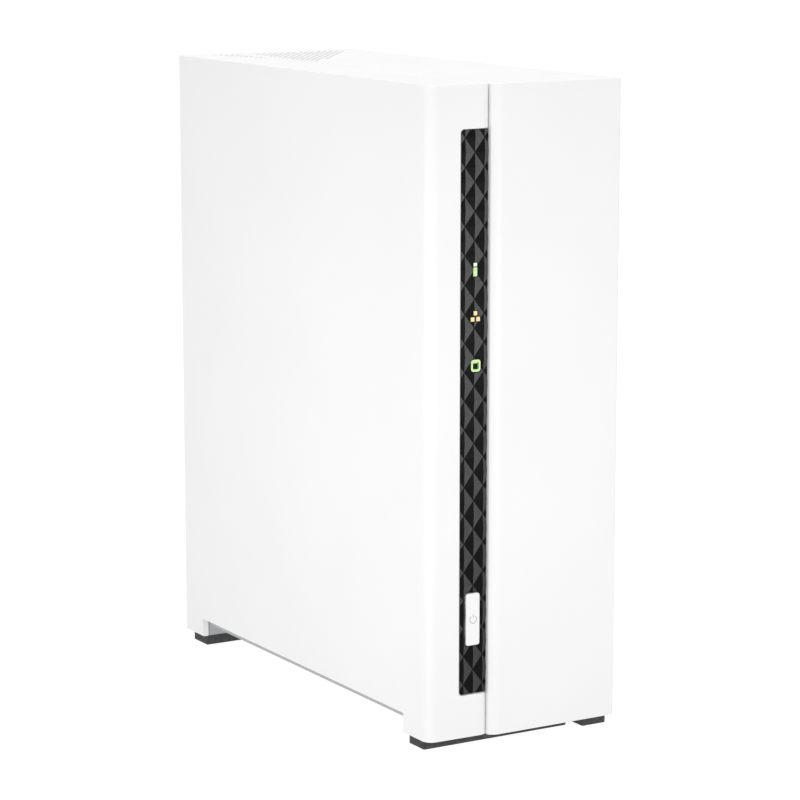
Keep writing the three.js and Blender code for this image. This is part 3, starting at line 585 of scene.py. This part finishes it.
# The vented wedge of the top: its tip, how it widens towards the rear, and its net of holes.
VENT_TIP = (-8.0, 25.0)
VENT_RUNS = (-0.36, 0.82)
VENT_REAR = BACK - 6
VENT_HOLE = (0.5, 0.65)
VENT_PITCH = (2.2, 2.86)
VENT_CUT = (HEIGHT - TOP_WALL - 1, HEIGHT + 1)
LEFT_VENT_X = (LEFT + 3.6, SEAM - 1.6)
RIGHT_VENT_X = (SEAM + 1.2, COVER_RIGHT - 3.4)
# The plates that close the CAD's straight slots before the holes are cut.
LEFT_PLATE_X = (LEFT_VENT_X[0] - 0.5, LEFT_VENT_X[1] + 0.3)
RIGHT_PLATE_X = (RIGHT_VENT_X[0] + 3, RIGHT_VENT_X[1] + 0.1)
PLATE_Y = (VENT_TIP[1], VENT_REAR + 0.5)
FAN_SCREWS = [f"fan_screw_{i}" for i in range(1, 5)]
# The rear panel: rings of openings before the fan, and the radii of its round holes.
GRILLE_START = 6.0
GRILLE_OPENING = 2.6
GRILLE_PITCH = 4.4
GRILLE_RINGS = 4
GRILLE_SPOKE = 2.8
GRILLE_STEPS = 20
PANEL_HOLES = {**dict.fromkeys(FAN_SCREWS, 2.2), "thumb_screw": 2.1, "reset_plunger": 1.2}
SOCKETS = ("lan_jack", "usb_port_lower", "usb_port_upper", "dc_jack")
SOCKET_GAP = 0.25
LOCK_SLOT = ((6, 9), (24, 31))


def middle_of(name, axes="xz"):
    """The middle of a CAD node across two axes, in millimetres."""
    return tuple(sum(span(name, axis)) / 2 for axis in axes)


FAN_AT = middle_of("fan_frame")


def on_plane(edge, axis, target):
    """Whether an edge lies in the plane where axis is target millimetres."""
    index = "xyz".index(axis)
    return all(abs(vert.co[index] / MM - target) < ON_PLANE for vert in edge.verts)


def casing_rim(edge):
    """Edges that a hand meets: the top's, those of the outer walls, and the front's lowest."""
    outer_wall = on_plane(edge, "x", LEFT) or on_plane(edge, "x", COVER_RIGHT)
    middle = (edge.verts[0].co + edge.verts[1].co) / 2 / MM
    behind = middle.y - COVER_FRONT
    at_front = behind < FRONT_ZONE and middle.z < LOWER_RIM
    return on_plane(edge, "z", HEIGHT) or (outer_wall and behind > FRONT_ZONE) or at_front


def slice_at(bm, **planes):
    """Runs an edge loop round bm at every given x, y or z, so that flat faces end there."""
    for axis, places in planes.items():
        normal = point("z", *{"x": (1, 0, 0), "y": (0, 1, 0), "z": (0, 0, 1)}[axis])
        for at in places:
            parts = list(bm.verts) + list(bm.edges) + list(bm.faces)
            bmesh.ops.bisect_plane(bm, geom=parts, plane_co=normal * at, plane_no=normal)


def rhombic_holes(x_range):
    """Cutter for the vents: the part of the staggered net that lies within x_range."""
    bm = bmesh.new()
    half_x, half_y = VENT_HOLE
    row, y = 0, VENT_TIP[1] + VENT_PITCH[1]
    while y + half_y < VENT_REAR:
        reach = [VENT_TIP[0] + run * (y - VENT_TIP[1]) for run in VENT_RUNS]
        low, high = max(reach[0], x_range[0]), min(reach[1], x_range[1])
        first = math.ceil((low + half_x - VENT_TIP[0]) / VENT_PITCH[0] - row % 2 / 2)
        x = VENT_TIP[0] + (first + row % 2 / 2) * VENT_PITCH[0]
        while x + half_x < high:
            corners = [(x + half_x, y), (x, y + half_y), (x - half_x, y), (x, y - half_y)]
            loft(bm, [[point("z", a, b, z) for a, b in corners] for z in VENT_CUT])
            x += VENT_PITCH[0]
        row, y = row + 1, y + VENT_PITCH[1] / 2
    return bm


def closed_top(name, x_range):
    """A casing half with its straight vent slots filled, ready for the rhombic holes."""
    plate = block(bmesh.new(), x_range, PLATE_Y, (HEIGHT - TOP_WALL, HEIGHT))
    return tidied(carve(cad_shape(name), plate, "UNION"))


def build_chassis():
    """The left casing; its front face curves in over the last few millimetres before the seam."""
    bm = closed_top("chassis_shell", LEFT_PLATE_X)
    seam = STRIP_X[1]
    soften(bm, CASING_EDGE, 3, casing_rim)
    curve = [seam - SEAM_CURVE * (1 - i / SEAM_CURVE_STEPS) for i in range(SEAM_CURVE_STEPS)]
    slice_at(
        bm,
        x=[LEFT + CORNER + HOLD, STRIP_X[0] - HOLD, *curve],
        y=[FACE_CORNER + CORNER + HOLD],
        z=[STRIP_Z[0] - HOLD, STRIP_Z[1] + HOLD],
    )
    for vert in bm.verts:
        share = 1 - (seam - vert.co.x / MM) / SEAM_CURVE
        if 0 < share < 1.01 and vert.co.y / MM < SEAM_SKIN:
            vert.co.y += SEAM_DROP * share**3 * MM
    stand_for("chassis_shell", merged(carve(bm, rhombic_holes(LEFT_VENT_X))))


def build_cover():
    """The cover, whose front wraps round into the seam."""
    bm = closed_top("right_cover", RIGHT_PLATE_X)
    soften(bm, CASING_EDGE, 3, casing_rim)
    slice_at(
        bm,
        x=[SEAM + SEAM_ROUND + HOLD, COVER_RIGHT - RIGHT_ROUND - HOLD],
        y=[COVER_FRONT + RIGHT_ROUND + HOLD],
    )
    stand_for("right_cover", merged(carve(bm, rhombic_holes(RIGHT_VENT_X))))


def grille_sector(bm, inner, quadrant, y):
    """One opening of the fan grille: a quarter ring between two spokes."""
    edge = []
    for radius, order in ((inner + GRILLE_OPENING, 1), (inner, -1)):
        gap = math.asin(GRILLE_SPOKE / 2 / radius)
        step = (math.pi / 2 - 2 * gap) / GRILLE_STEPS
        for turn in [gap + step * i for i in range(GRILLE_STEPS + 1)][::order]:
            angle = turn + quadrant * math.pi / 2
            edge.append((radius * math.cos(angle), radius * math.sin(angle)))
    loft(bm, [[point("y", FAN_AT[0] + u, FAN_AT[1] + v, w) for u, v in edge] for w in y])


def build_rear_panel():
    """The rear panel, with softened socket openings and a finely rounded grille."""
    x, y, z = (span("rear_panel", axis) for axis in "xyz")
    plate = pad(bmesh.new(), "y", x, z, y, radius=0.6, fillet=0.2, steps=2)
    openings = bmesh.new()
    through = shrunk(y, -1)
    for ring in range(GRILLE_RINGS):
        for quadrant in range(4):
            grille_sector(openings, GRILLE_START + ring * GRILLE_PITCH, quadrant, through)
    for name in SOCKETS:
        opening = [shrunk(span(name, axis), -SOCKET_GAP) for axis in "xz"]
        pad(openings, "y", *opening, through, radius=0.4)
    for name, radius in PANEL_HOLES.items():
        turned(openings, "y", middle_of(name), [(radius, end) for end in through], sides=24)
    pad(openings, "y", *LOCK_SLOT, through, radius=1.4)
    bm = carve(plate, openings)
    soften(bm, 0.12, where=lambda edge: on_plane(edge, "y", y[1]))
    stand_for("rear_panel", bm)


# ---------------------------------------------------------------------------------------------
# Front strip, its lit symbols and the power button.

STRIP_RADIUS = 1.0
BUTTON_X = (-18.65, -14.1)
BUTTON_Z = (30.05, 45.2)
BUTTON_RADIUS = 0.8
BUTTON_GAP = CAD_GAP
FLANGE_Y = (STRIP_BACK + 1.2, STRIP_BACK + 2.4)
STEM_RADIUS = 1.5
# The power symbol: a ring open at its top, and a bar in the opening.
POWER_RING = (1.25, 0.95)  # outer and inner radius
POWER_OPENING = 70  # degrees
POWER_BAR_HALF = 0.15
POWER_BAR_Z = (0.5, 1.6)
POWER_STEPS = 28
SYMBOLS = {
    "status_light_pipe": [
        ((-16.36, -15.24), (138.1, 139.1)),
        ((-16.43, -15.17), (135.35, 137.8)),
    ],
    "network_light_pipe": [
        ((-16.3, -15.1), (124.4, 125.6)),
        ((-17.2, -16.0), (122.7, 123.9)),
        ((-15.4, -14.2), (122.7, 123.9)),
    ],
    "drive_light_pipe": [((-17.05, -13.95), (108.5, 111.9))],
}
RING_RADIUS = 0.8
SYMBOL_RADIUS = 0.05
LIT_DEPTH = 0.12  # the faces of a light pipe this near the front are its lit symbol
DOT_BOTTOM = 138.0
RING_BAR = ((-16.2, -14.8), (110.85, 111.1))


def lattice_sheet():
    """Low pyramids on all rhombi in and just around the strip, with walls and a flat back."""
    bm = bmesh.new()
    corners = {}

    def corner(column, row):
        if (column, row) not in corners:
            x = RHOMBUS_X + column * RHOMBUS_HALF_WIDTH
            z = RHOMBUS_Z + row * RHOMBUS_HALF_HEIGHT
            corners[column, row] = bm.verts.new(Vector((x, STRIP_FACE, z)) * MM)
        return corners[column, row]

    lowest = math.floor((STRIP_Z[0] - RHOMBUS_Z) / RHOMBUS_HALF_HEIGHT) - 2
    highest = math.ceil((STRIP_Z[1] - RHOMBUS_Z) / RHOMBUS_HALF_HEIGHT) + 1
    for column in range(-2, 3):
        for row in range(lowest, highest + 1):
            if (column + row) % 2:
                continue
            around = [
                corner(column - 1, row),
                corner(column, row - 1),
                corner(column + 1, row),
                corner(column, row + 1),
            ]
            x = RHOMBUS_X + column * RHOMBUS_HALF_WIDTH
            z = RHOMBUS_Z + row * RHOMBUS_HALF_HEIGHT
            peak = bm.verts.new(Vector((x, STRIP_FACE - RHOMBUS_RELIEF, z)) * MM)
            for i in range(4):
                bm.faces.new((around[i], around[(i + 1) % 4], peak))
    flat = STRIP_FACE * MM
    valleys = [
        edge
        for edge in bm.edges
        if len(edge.link_faces) == 2 and all(abs(vert.co.y - flat) < 1e-7 for vert in edge.verts)
    ]
    bmesh.ops.bevel(bm, geom=valleys, offset=GROOVE * MM, segments=1, affect="EDGES")
    rim = [edge for edge in bm.edges if edge.is_boundary]
    walls = bmesh.ops.extrude_edge_only(bm, edges=rim)["geom"]
    for vert in (part for part in walls if isinstance(part, bmesh.types.BMVert)):
        vert.co.y = (STRIP_BACK + 1) * MM
    rim = [edge for edge in bm.edges if edge.is_boundary]
    bmesh.ops.contextual_create(bm, geom=rim)
    return bm


def strip_outline():
    """The strip's outline: rounded on its left side, square along the seam, no point twice."""
    outline = []
    for x, z in rounded_rectangle((STRIP_X[0], STRIP_X[1] + 5), STRIP_Z, STRIP_RADIUS):
        spot = (min(x, STRIP_X[1]), z)
        if not outline or math.dist(spot, outline[-1]) > 0.01:
            outline.append(spot)
    return outline


def build_strip():
    """The strip: the lattice within its outline, open where the button and the symbols are."""
    outline = strip_outline()
    rings = [[point("y", x, z, y) for x, z in outline] for y in (STRIP_FACE - 1, STRIP_BACK)]
    bm = carve(lattice_sheet(), loft(bmesh.new(), rings), "INTERSECT")
    openings = [(BUTTON_X, BUTTON_Z, BUTTON_RADIUS, BUTTON_GAP)]
    for name, windows in SYMBOLS.items():
        radius = RING_RADIUS if name == "drive_light_pipe" else SYMBOL_RADIUS
        openings += [(x, z, radius, WINDOW_GAP) for x, z in windows]
    for x, z, radius, gap in openings:
        spans = shrunk(x, -gap), shrunk(z, -gap), (STRIP_FACE - 2, STRIP_BACK + 2)
        bm = carve(bm, pad(bmesh.new(), "y", *spans, radius + gap))
    piece = stand_for("front_trim", bm)
    piece.data.shade_flat()
    piece.modifiers.clear()
    # Painted light: the facets that face right get the lighter copy of the film.
    paint(
        piece, FACET_PAINTED_HIGHLIGHT, lambda middle, normal: faces_front(normal) and normal.x > FACET_TILT
    )


def build_light_pipe(name, light):
    """A light pipe: lit at its symbol, and a dim dark green where it shows round and behind the
    symbol, a faint glow that is also painted shade of the recessed bezel round each window.
    """
    bm = cad_shape(name)
    soften(bm, 0.06, segments=1)
    piece = stand_for(name, bm)
    face = STRIP_FACE + LIT_DEPTH
    paint(piece, light, lambda middle, normal: middle.y < face)
    # Partly the pipe's faint glow, partly painted shade of the recessed bezel round the windows.
    paint(piece, DIM_GREEN_AND_SHADE, lambda middle, normal: middle.y > face and faces_front(normal))
    if name == "status_light_pipe":
        paint(piece, PALE_LIGHT, lambda middle, normal: middle.y < face and middle.z > DOT_BOTTOM)


def build_button():
    """White cap with softly rounded edges over the retaining flange and the stem."""
    y = span("power_button", "y")
    bm = bmesh.new()
    pad(bm, "y", BUTTON_X, BUTTON_Z, (y[0], FLANGE_Y[0] + 0.5), BUTTON_RADIUS, fillet=0.35)
    pad(bm, "y", shrunk(BUTTON_X, -0.7), shrunk(BUTTON_Z, -1), FLANGE_Y, radius=0.8, fillet=0.15)
    stem = [(STEM_RADIUS, FLANGE_Y[1] - 0.3), (STEM_RADIUS, y[1] - 0.3), (1.2, y[1])]
    turned(bm, "y", (sum(BUTTON_X) / 2, sum(BUTTON_Z) / 2), stem, sides=24)
    stand_for("power_button", bm)


def build_power_symbol():
    """A grey power mark that stands just proud of the button's face."""
    x, z = sum(BUTTON_X) / 2, sum(BUTTON_Z) / 2
    face = span("power_button", "y")[0]
    low, high = face - 0.02, face + 0.2
    outer, inner = POWER_RING
    section = [(outer, low), (outer, high), (inner, high), (inner, low)]
    rings = []
    for i in range(POWER_STEPS + 1):
        angle = math.radians(90 + POWER_OPENING / 2 + (360 - POWER_OPENING) * i / POWER_STEPS)
        u, v = math.cos(angle), math.sin(angle)
        rings.append([point("y", x + r * u, z + r * v, w) for r, w in section])
    mark = loft(bmesh.new(), rings)
    block(mark, shrunk((x, x), -POWER_BAR_HALF), (low, high), [z + rise for rise in POWER_BAR_Z])
    extra("power_symbol", mark, "power_button", "button", SYMBOL_GREY)


# ---------------------------------------------------------------------------------------------
# Rear fan, screws, sockets and feet.

HUB_RADIUS = 11.5
BLADES = 7
# From a blade's root to its tip: radius, chord, pitch in degrees and half thickness.
BLADE_RADIUS = (HUB_RADIUS - 0.6, 22.6)
BLADE_CHORD = (10.0, 12.2)
BLADE_PITCH = (50, 30)
BLADE_HALF_THICKNESS = (0.65, 0.4)
BLADE_CAMBER = 0.9
BLADE_SWEEP = 0.25
BLADE_STATIONS = 7
BLADE_POINTS = 9  # along each side of a section


def between(ends, share):
    return ends[0] + share * (ends[1] - ends[0])


def blade(bm, turn, y_middle):
    """A fan blade: cambered sections lofted from inside the hub to the tip, twisted and swept."""
    rings = []
    for k in range(BLADE_STATIONS):
        share = k / (BLADE_STATIONS - 1)
        radius = between(BLADE_RADIUS, share)
        chord = between(BLADE_CHORD, share)
        pitch = math.radians(between(BLADE_PITCH, share))
        half_thickness = between(BLADE_HALF_THICKNESS, share)
        section = []
        for side, order in ((1, 1), (-1, -1)):
            for i in list(range(BLADE_POINTS))[::order][: BLADE_POINTS - 1]:
                t = i / (BLADE_POINTS - 1)
                bulge = 4 * t * (1 - t)
                across = BLADE_CAMBER * bulge + side * half_thickness * math.sqrt(bulge)
                along = chord * (t - 0.5)
                section.append((along, across))
        ring = []
        for along, across in section:
            sideways = along * math.cos(pitch) - across * math.sin(pitch)
            rise = along * math.sin(pitch) + across * math.cos(pitch)
            angle = turn + sideways / radius + BLADE_SWEEP * share
            u = FAN_AT[0] + radius * math.cos(angle)
            v = FAN_AT[1] + radius * math.sin(angle)
            ring.append(point("y", u, v, y_middle + rise))
        rings.append(ring)
    loft(bm, rings)


def build_fan_rotor():
    """Hub with a dished cap and seven blades."""
    y = span("fan_rotor", "y")
    front, back = y[0], y[1] - 1.5
    hub = bmesh.new()
    cap = [(3.6, front + 0.5), (4.0, front), (10.4, front), (11.2, front + 0.3)]
    rim = [(HUB_RADIUS, front + 1.1), (HUB_RADIUS, back), (1.0, back), (1.0, y[1])]
    turned(hub, "y", FAN_AT, cap + rim, sides=64)
    blades = bmesh.new()
    for i in range(BLADES):
        blade(blades, 2 * math.pi * i / BLADES, (front + back) / 2)
    stand_for("fan_rotor", carve(hub, blades, "UNION"))


THREAD_PITCH = 0.6
THREAD_ROOT = 0.84  # share of the thread's radius
# Shares of a pan head's radius, and of its height below the top.
SCREW_DOME = [(0.5, 0.0), (0.72, 0.05), (0.88, 0.2), (0.97, 0.45), (1.0, 0.75), (1.0, 1.0)]
# The cross recess: half length and half width of an arm as shares of the head's radius, and its
# depth as a share of the head's height.
CROSS_ARM = (0.62, 0.12)
CROSS_DEPTH = 0.55
POINT_LENGTH = 0.6
KNURLS = 36
KNURL_DEPTH = 0.4


def thread(radius, start, end):
    """Profile of a threaded stretch: crests and roots by turns."""
    count = max(2, round(abs(end - start) / THREAD_PITCH))
    step = (end - start) / count
    profile = []
    for i in range(count):
        profile.append((radius, start + step * (i + 0.25)))
        profile.append((radius * THREAD_ROOT, start + step * (i + 0.75)))
    return profile


def build_screw(name, axis, outward, head_height, shank_radius):
    """Pan-head screw with a cross recess; outward is the side of the axis that its head is on."""
    across = [other for other in "xyz" if other != axis]
    centre = middle_of(name, across)
    ends = span(name, axis)
    top, tip = (ends[1], ends[0]) if outward > 0 else ends
    radius = (span(name, across[0])[1] - span(name, across[0])[0]) / 2
    seat = top - outward * head_height
    dome = [(radius * part, top - outward * head_height * drop) for part, drop in SCREW_DOME]
    end = tip + outward * POINT_LENGTH
    profile = dome + [(shank_radius, seat)] + thread(shank_radius, seat, end)
    bm = turned(bmesh.new(), axis, centre, profile + [(shank_radius * 0.6, tip)], sides=40)
    deep = sorted((top + outward * 0.5, top - outward * CROSS_DEPTH * head_height))
    for reach in (CROSS_ARM, CROSS_ARM[::-1]):
        u, v = (shrunk((middle, middle), -radius * part) for middle, part in zip(centre, reach))
        bm = carve(bm, pad(bmesh.new(), axis, u, v, deep, radius=0.1))
    stand_for(name, bm)


def build_thumb_screw():
    """Captive screw with a knurled head, a recessed end face and a coin slot."""
    y = span("thumb_screw", "y")
    radius = (span("thumb_screw", "x")[1] - span("thumb_screw", "x")[0]) / 2
    seat = span("rear_panel", "y")[1] + CAD_GAP
    profile = [(1.1, y[0])] + thread(1.5, y[0] + 0.5, seat - 1.5) + [(1.5, seat - 1.2), (1.5, seat)]
    profile += [(radius - 0.6, seat), (radius, seat + 0.5), (radius, y[1] - 0.8)]
    profile += [(radius * 0.93, y[1] - 0.3), (radius * 0.86, y[1]), (radius * 0.72, y[1])]
    profile += [(radius * 0.68, y[1] - 0.25)]
    centre = middle_of("thumb_screw")
    bm = turned(bmesh.new(), "y", centre, profile, 6 * KNURLS, KNURL_DEPTH, KNURLS)
    slot = block(
        bmesh.new(),
        shrunk((centre[0], centre[0]), -radius - 1),
        (y[1] - 1.3, y[1] + 1),
        shrunk((centre[1], centre[1]), -0.55),
    )
    stand_for("thumb_screw", carve(bm, slot))


CONTACT_SECTION = [(-0.12, -0.2), (0.12, -0.2), (0.12, 0.2), (-0.12, 0.2)]
LAN_WALL = 0.6
LAN_DEPTH = 18
LAN_CONTACTS = 8
LAN_CONTACT_PITCH = 1.02
USB_CONTACTS = 4
USB_CONTACT_PITCH = 2.5
DC_PIN_X = 5.6  # from the jack's side to the pin's axis
DC_PIN_RADIUS = 1.05
DC_PIN_DEPTH = 9.9


def row_of(count, pitch, name):
    """Places along z of a row of contacts about the middle of a socket."""
    middle = sum(span(name, "z")) / 2
    return [middle + (i - (count - 1) / 2) * pitch for i in range(count)]


def build_lan_jack():
    """Shielded jack: a dark moulding inside with eight sprung contacts."""
    bm = cad_shape("lan_jack")
    soften(bm, 0.12)
    piece = stand_for("lan_jack", bm)
    x, z = span("lan_jack", "x"), span("lan_jack", "z")
    face = span("lan_jack", "y")[1]
    inside_x, inside_z = shrunk(x, LAN_WALL), shrunk(z, LAN_WALL)
    paint(
        piece,
        TONGUE_BLACK,
        lambda middle, normal: face - LAN_DEPTH < middle.y < face - 0.2
        and inside_x[0] < middle.x < inside_x[1]
        and inside_z[0] < middle.z < inside_z[1],
    )
    contacts = bmesh.new()
    bend = [(x[0] + 10.2, face - 1.6), (x[0] + 9.6, face - 3.6), (x[0] + 7.2, face - 11)]
    for at in row_of(LAN_CONTACTS, LAN_CONTACT_PITCH, "lan_jack"):
        for first, second in zip(bend, bend[1:]):
            loft(
                contacts,
                [
                    [point("z", px + side, py, at + rise) for side, rise in CONTACT_SECTION]
                    for px, py in (first, second)
                ],
            )
    extra("lan_contacts", contacts, "chassis", "shield", CONTACT_GOLD)


def build_usb_port(name):
    """Steel shell round a blue tongue with four contact strips."""
    bm = cad_shape(name)
    soften(bm, 0.12)
    piece = stand_for(name, bm)
    x, z = span(name, "x"), span(name, "z")
    face = span(name, "y")[1]
    tongue = (x[0] + 1.3, x[0] + 3.5)
    inside = shrunk(z, 1.2)
    paint(
        piece,
        PORT_BLUE,
        lambda middle, normal: face - 13 < middle.y < face - 1
        and tongue[0] < middle.x < tongue[1]
        and inside[0] < middle.z < inside[1],
    )
    contacts = bmesh.new()
    top = x[0] + 3.3
    for at in row_of(USB_CONTACTS, USB_CONTACT_PITCH, name):
        strip = (top - 0.05, top + 0.07), (at - 0.5, at + 0.5), (face - 9, face - 2.2)
        pad(contacts, "y", *strip, radius=0.04)
    extra(f"{name}_contacts", contacts, "chassis", "shield", CONTACT_GOLD)


def build_dc_jack():
    """Power inlet: a black housing round a steel pin."""
    bm = cad_shape("dc_jack")
    soften(bm, 0.12)
    piece = stand_for("dc_jack", bm)
    x, z = span("dc_jack", "x")[0] + DC_PIN_X, middle_of("dc_jack")[1]
    face = span("dc_jack", "y")[1]

    def on_pin(middle, normal):
        off = math.hypot(middle.x - x, middle.z - z)
        return off < DC_PIN_RADIUS and middle.y > face - DC_PIN_DEPTH

    paint(piece, LOOKS["shield"], on_pin)


def build_foot(name):
    """Rubber pad with a softly rounded tread, up to the underside of the casing."""
    x, y, z = (span(name, axis) for axis in "xyz")
    top = span("chassis_shell", "z")[0]
    stand_for(name, pad(bmesh.new(), "z", x, y, (z[0], top), radius=0.6, fillet=0.2))


LEAD_DROP = 122  # height down to which the lead runs straight beside the fan
LEAD_BENDS = ((-13, 57, 114), (-7, 50, 108.5))
LEAD_WIRES = 3
LEAD_TWIST = 0.12  # turn of the lay from one point of the route to the next
LAY_RADIUS = 0.6
WIRE_RADIUS = 0.5
WIRE_SIDES = 12


def build_fan_lead():
    """Sleeved wires, lightly twisted, from the fan to its plug."""
    x, y, z = (span("fan_lead", axis) for axis in "xyz")
    plug_y, plug_z = middle_of("fan_plug", "yz")
    start = (x[0] + 1.2, y[1] - 1.2)
    route = [
        Vector((*start, z[1])),
        Vector((*start, LEAD_DROP)),
        *(Vector(bend) for bend in LEAD_BENDS),
        Vector((span("fan_plug", "x")[1] + 2.8, plug_y + 0.4, plug_z)),
        Vector((span("fan_plug", "x")[1] + 0.1, plug_y, plug_z)),
    ]
    line = smooth_route(route, 10)
    bm = bmesh.new()
    sides = [2 * math.pi * step / WIRE_SIDES for step in range(WIRE_SIDES)]
    for wire in range(LEAD_WIRES):
        rings = []
        for i, spot in enumerate(line):
            ahead = line[min(i + 1, len(line) - 1)] - line[max(i - 1, 0)]
            ahead.normalize()
            side = (Vector((0, 1, 0)) - ahead * ahead.y).normalized()
            other = ahead.cross(side)
            turn = 2 * math.pi * wire / LEAD_WIRES + i * LEAD_TWIST
            centre = spot + (side * math.cos(turn) + other * math.sin(turn)) * LAY_RADIUS
            rings.append(
                [
                    (centre + (side * math.cos(a) + other * math.sin(a)) * WIRE_RADIUS) * MM
                    for a in sides
                ]
            )
        loft(bm, rings)
    stand_for("fan_lead", bm)


def smooth_route(points, steps):
    """Points along a Catmull-Rom curve through the given points."""
    padded = [points[0] * 2 - points[1], *points, points[-1] * 2 - points[-2]]
    line = []
    for a, b, c, d in zip(padded, padded[1:], padded[2:], padded[3:]):
        for i in range(steps):
            t = i / steps
            line.append(
                0.5
                * (
                    2 * b
                    + (c - a) * t
                    + (2 * a - 5 * b + 4 * c - d) * t**2
                    + (3 * b - a - 3 * c + d) * t**3
                )
            )
    return [*line, points[-1]]


# ---------------------------------------------------------------------------------------------
# Everything else keeps its CAD shape with its edges broken.

EDGE_BREAK = {
    "tray": 0.2,
    "circuit_board": 0.08,
    "component": 0.12,
    "bracket": 0.12,
    "casting": 0.14,
    "lid": 0.14,
    "heatsink": 0.12,
    "capacitor": 0.5,
    "coin_cell": 0.3,
    "fan": 0.14,
    "plug": 0.14,
    "led": 0.1,
}


def build_plain(name):
    """A piece in its CAD shape, with its outer edges rounded."""
    bm = cad_shape(name)
    soften(bm, EDGE_BREAK[SLOT_OF[name]])
    stand_for(name, bm)


build_chassis()
build_cover()
build_rear_panel()
build_strip()
build_light_pipe("status_light_pipe", GREEN_LIGHT)
build_light_pipe("network_light_pipe", AMBER_LIGHT)
build_light_pipe("drive_light_pipe", GREEN_LIGHT)
ring_bar = block(bmesh.new(), RING_BAR[0], (STRIP_FACE + 0.3, STRIP_FACE + 0.7), RING_BAR[1])
extra("drive_symbol_bar", ring_bar, "chassis", "light_pipe", GREEN_LIGHT)
build_button()
build_power_symbol()
build_fan_rotor()
build_fan_lead()
build_thumb_screw()
for name in FAN_SCREWS:
    build_screw(name, "y", 1, head_height=1.8, shank_radius=1.8)
for number in range(1, 5):
    build_screw(f"drive_screw_{number}", "x", -1, head_height=1.7, shank_radius=1.7)
for number in range(1, 3):
    build_screw(f"mainboard_screw_{number}", "x", 1, head_height=1.8, shank_radius=1.2)
build_lan_jack()
build_usb_port("usb_port_lower")
build_usb_port("usb_port_upper")
build_dc_jack()
for name in PIECES_OF_SLOT["foot"]:
    build_foot(name)
still_shown = sorted(name for name, piece in nodes.items() if not piece.hide_render)
for name in still_shown:
    build_plain(name)


# ---------------------------------------------------------------------------------------------
# Stage: a pale floor, soft light and the camera.

FLOOR_SPAN = (-6000, 6000)
FLOOR_Z = (-20, -0.05)
FLOOR_TONES = ((0.155,) * 3, (0.16,) * 3, (0.165,) * 3)
FLOOR_GLOW = 0.93
WORLD_STRENGTH = 0.61


def build_stage():
    """A floor that also glows, so that it stays nearly white under the object's soft shadow."""
    bm = block(bmesh.new(), FLOOR_SPAN, FLOOR_SPAN, FLOOR_Z)
    floor = bpy.data.objects.new("floor", to_mesh(bm, "floor"))
    bpy.context.scene.collection.objects.link(floor)
    low, middle, high = FLOOR_TONES
    material, tree, surface = shader("pale_floor", middle, 0.9, Emission_Strength=FLOOR_GLOW)
    tone = ramp(tree, noise(tree, place(tree), 60, 3), low, high)
    tree.links.new(tone, surface.inputs["Base Color"])
    surface.inputs["Emission Color"].default_value = (1, 1, 1, 1)
    floor.data.materials.append(material)


def softbox(name, at, aim, size, energy):
    """A rectangular lamp, in metres and watts, that the camera doesn't see."""
    light = bpy.data.lights.new(name, "AREA")
    light.shape = "RECTANGLE"
    light.size, light.size_y = size
    light.energy = energy
    lamp = bpy.data.objects.new(name, light)
    lamp.location = at
    lamp.rotation_euler = (Vector(aim) - Vector(at)).to_track_quat("-Z", "Y").to_euler()
    lamp.visible_camera = False
    bpy.context.scene.collection.objects.link(lamp)


def build_lights():
    world = bpy.data.worlds.new("studio")
    world.use_nodes = True
    background = world.node_tree.nodes["Background"]
    background.inputs["Color"].default_value = (1, 1, 1, 1)
    background.inputs["Strength"].default_value = WORLD_STRENGTH
    bpy.context.scene.world = world
    bpy.context.scene.view_settings.view_transform = "Standard"
    softbox("left_softbox", (-0.235, -0.055, 0.10), (0, -0.055, 0.10), (0.12, 0.08), 0.083)
    softbox("front_softbox", (-0.01, -0.285, 0.10), (-0.01, 0, 0.10), (0.12, 0.08), 0.095)
    softbox("corner_softbox", (-0.33, -0.36, 0.10), (-0.01, -0.07, 0.10), (0.14, 0.14), 0.16)
    softbox("overhead_softbox", (0, 0, 1.3), (0, 0, 0.19), (0.9, 0.9), 10.6)


def build_camera():
    camera = bpy.data.cameras.new("camera")
    camera.lens = CAMERA_LENS
    camera.clip_start = 0.05
    camera.clip_end = 50
    holder = bpy.data.objects.new("camera", camera)
    level = math.cos(CAMERA_ELEVATION)
    back = Vector(
        (
            math.sin(CAMERA_AZIMUTH) * level,
            -math.cos(CAMERA_AZIMUTH) * level,
            math.sin(CAMERA_ELEVATION),
        )
    )
    holder.location = CAMERA_AIM + back * CAMERA_DISTANCE
    holder.rotation_euler = (-back).to_track_quat("-Z", "Y").to_euler()
    bpy.context.scene.collection.objects.link(holder)
    bpy.context.scene.camera = holder


build_stage()
build_lights()
build_camera()
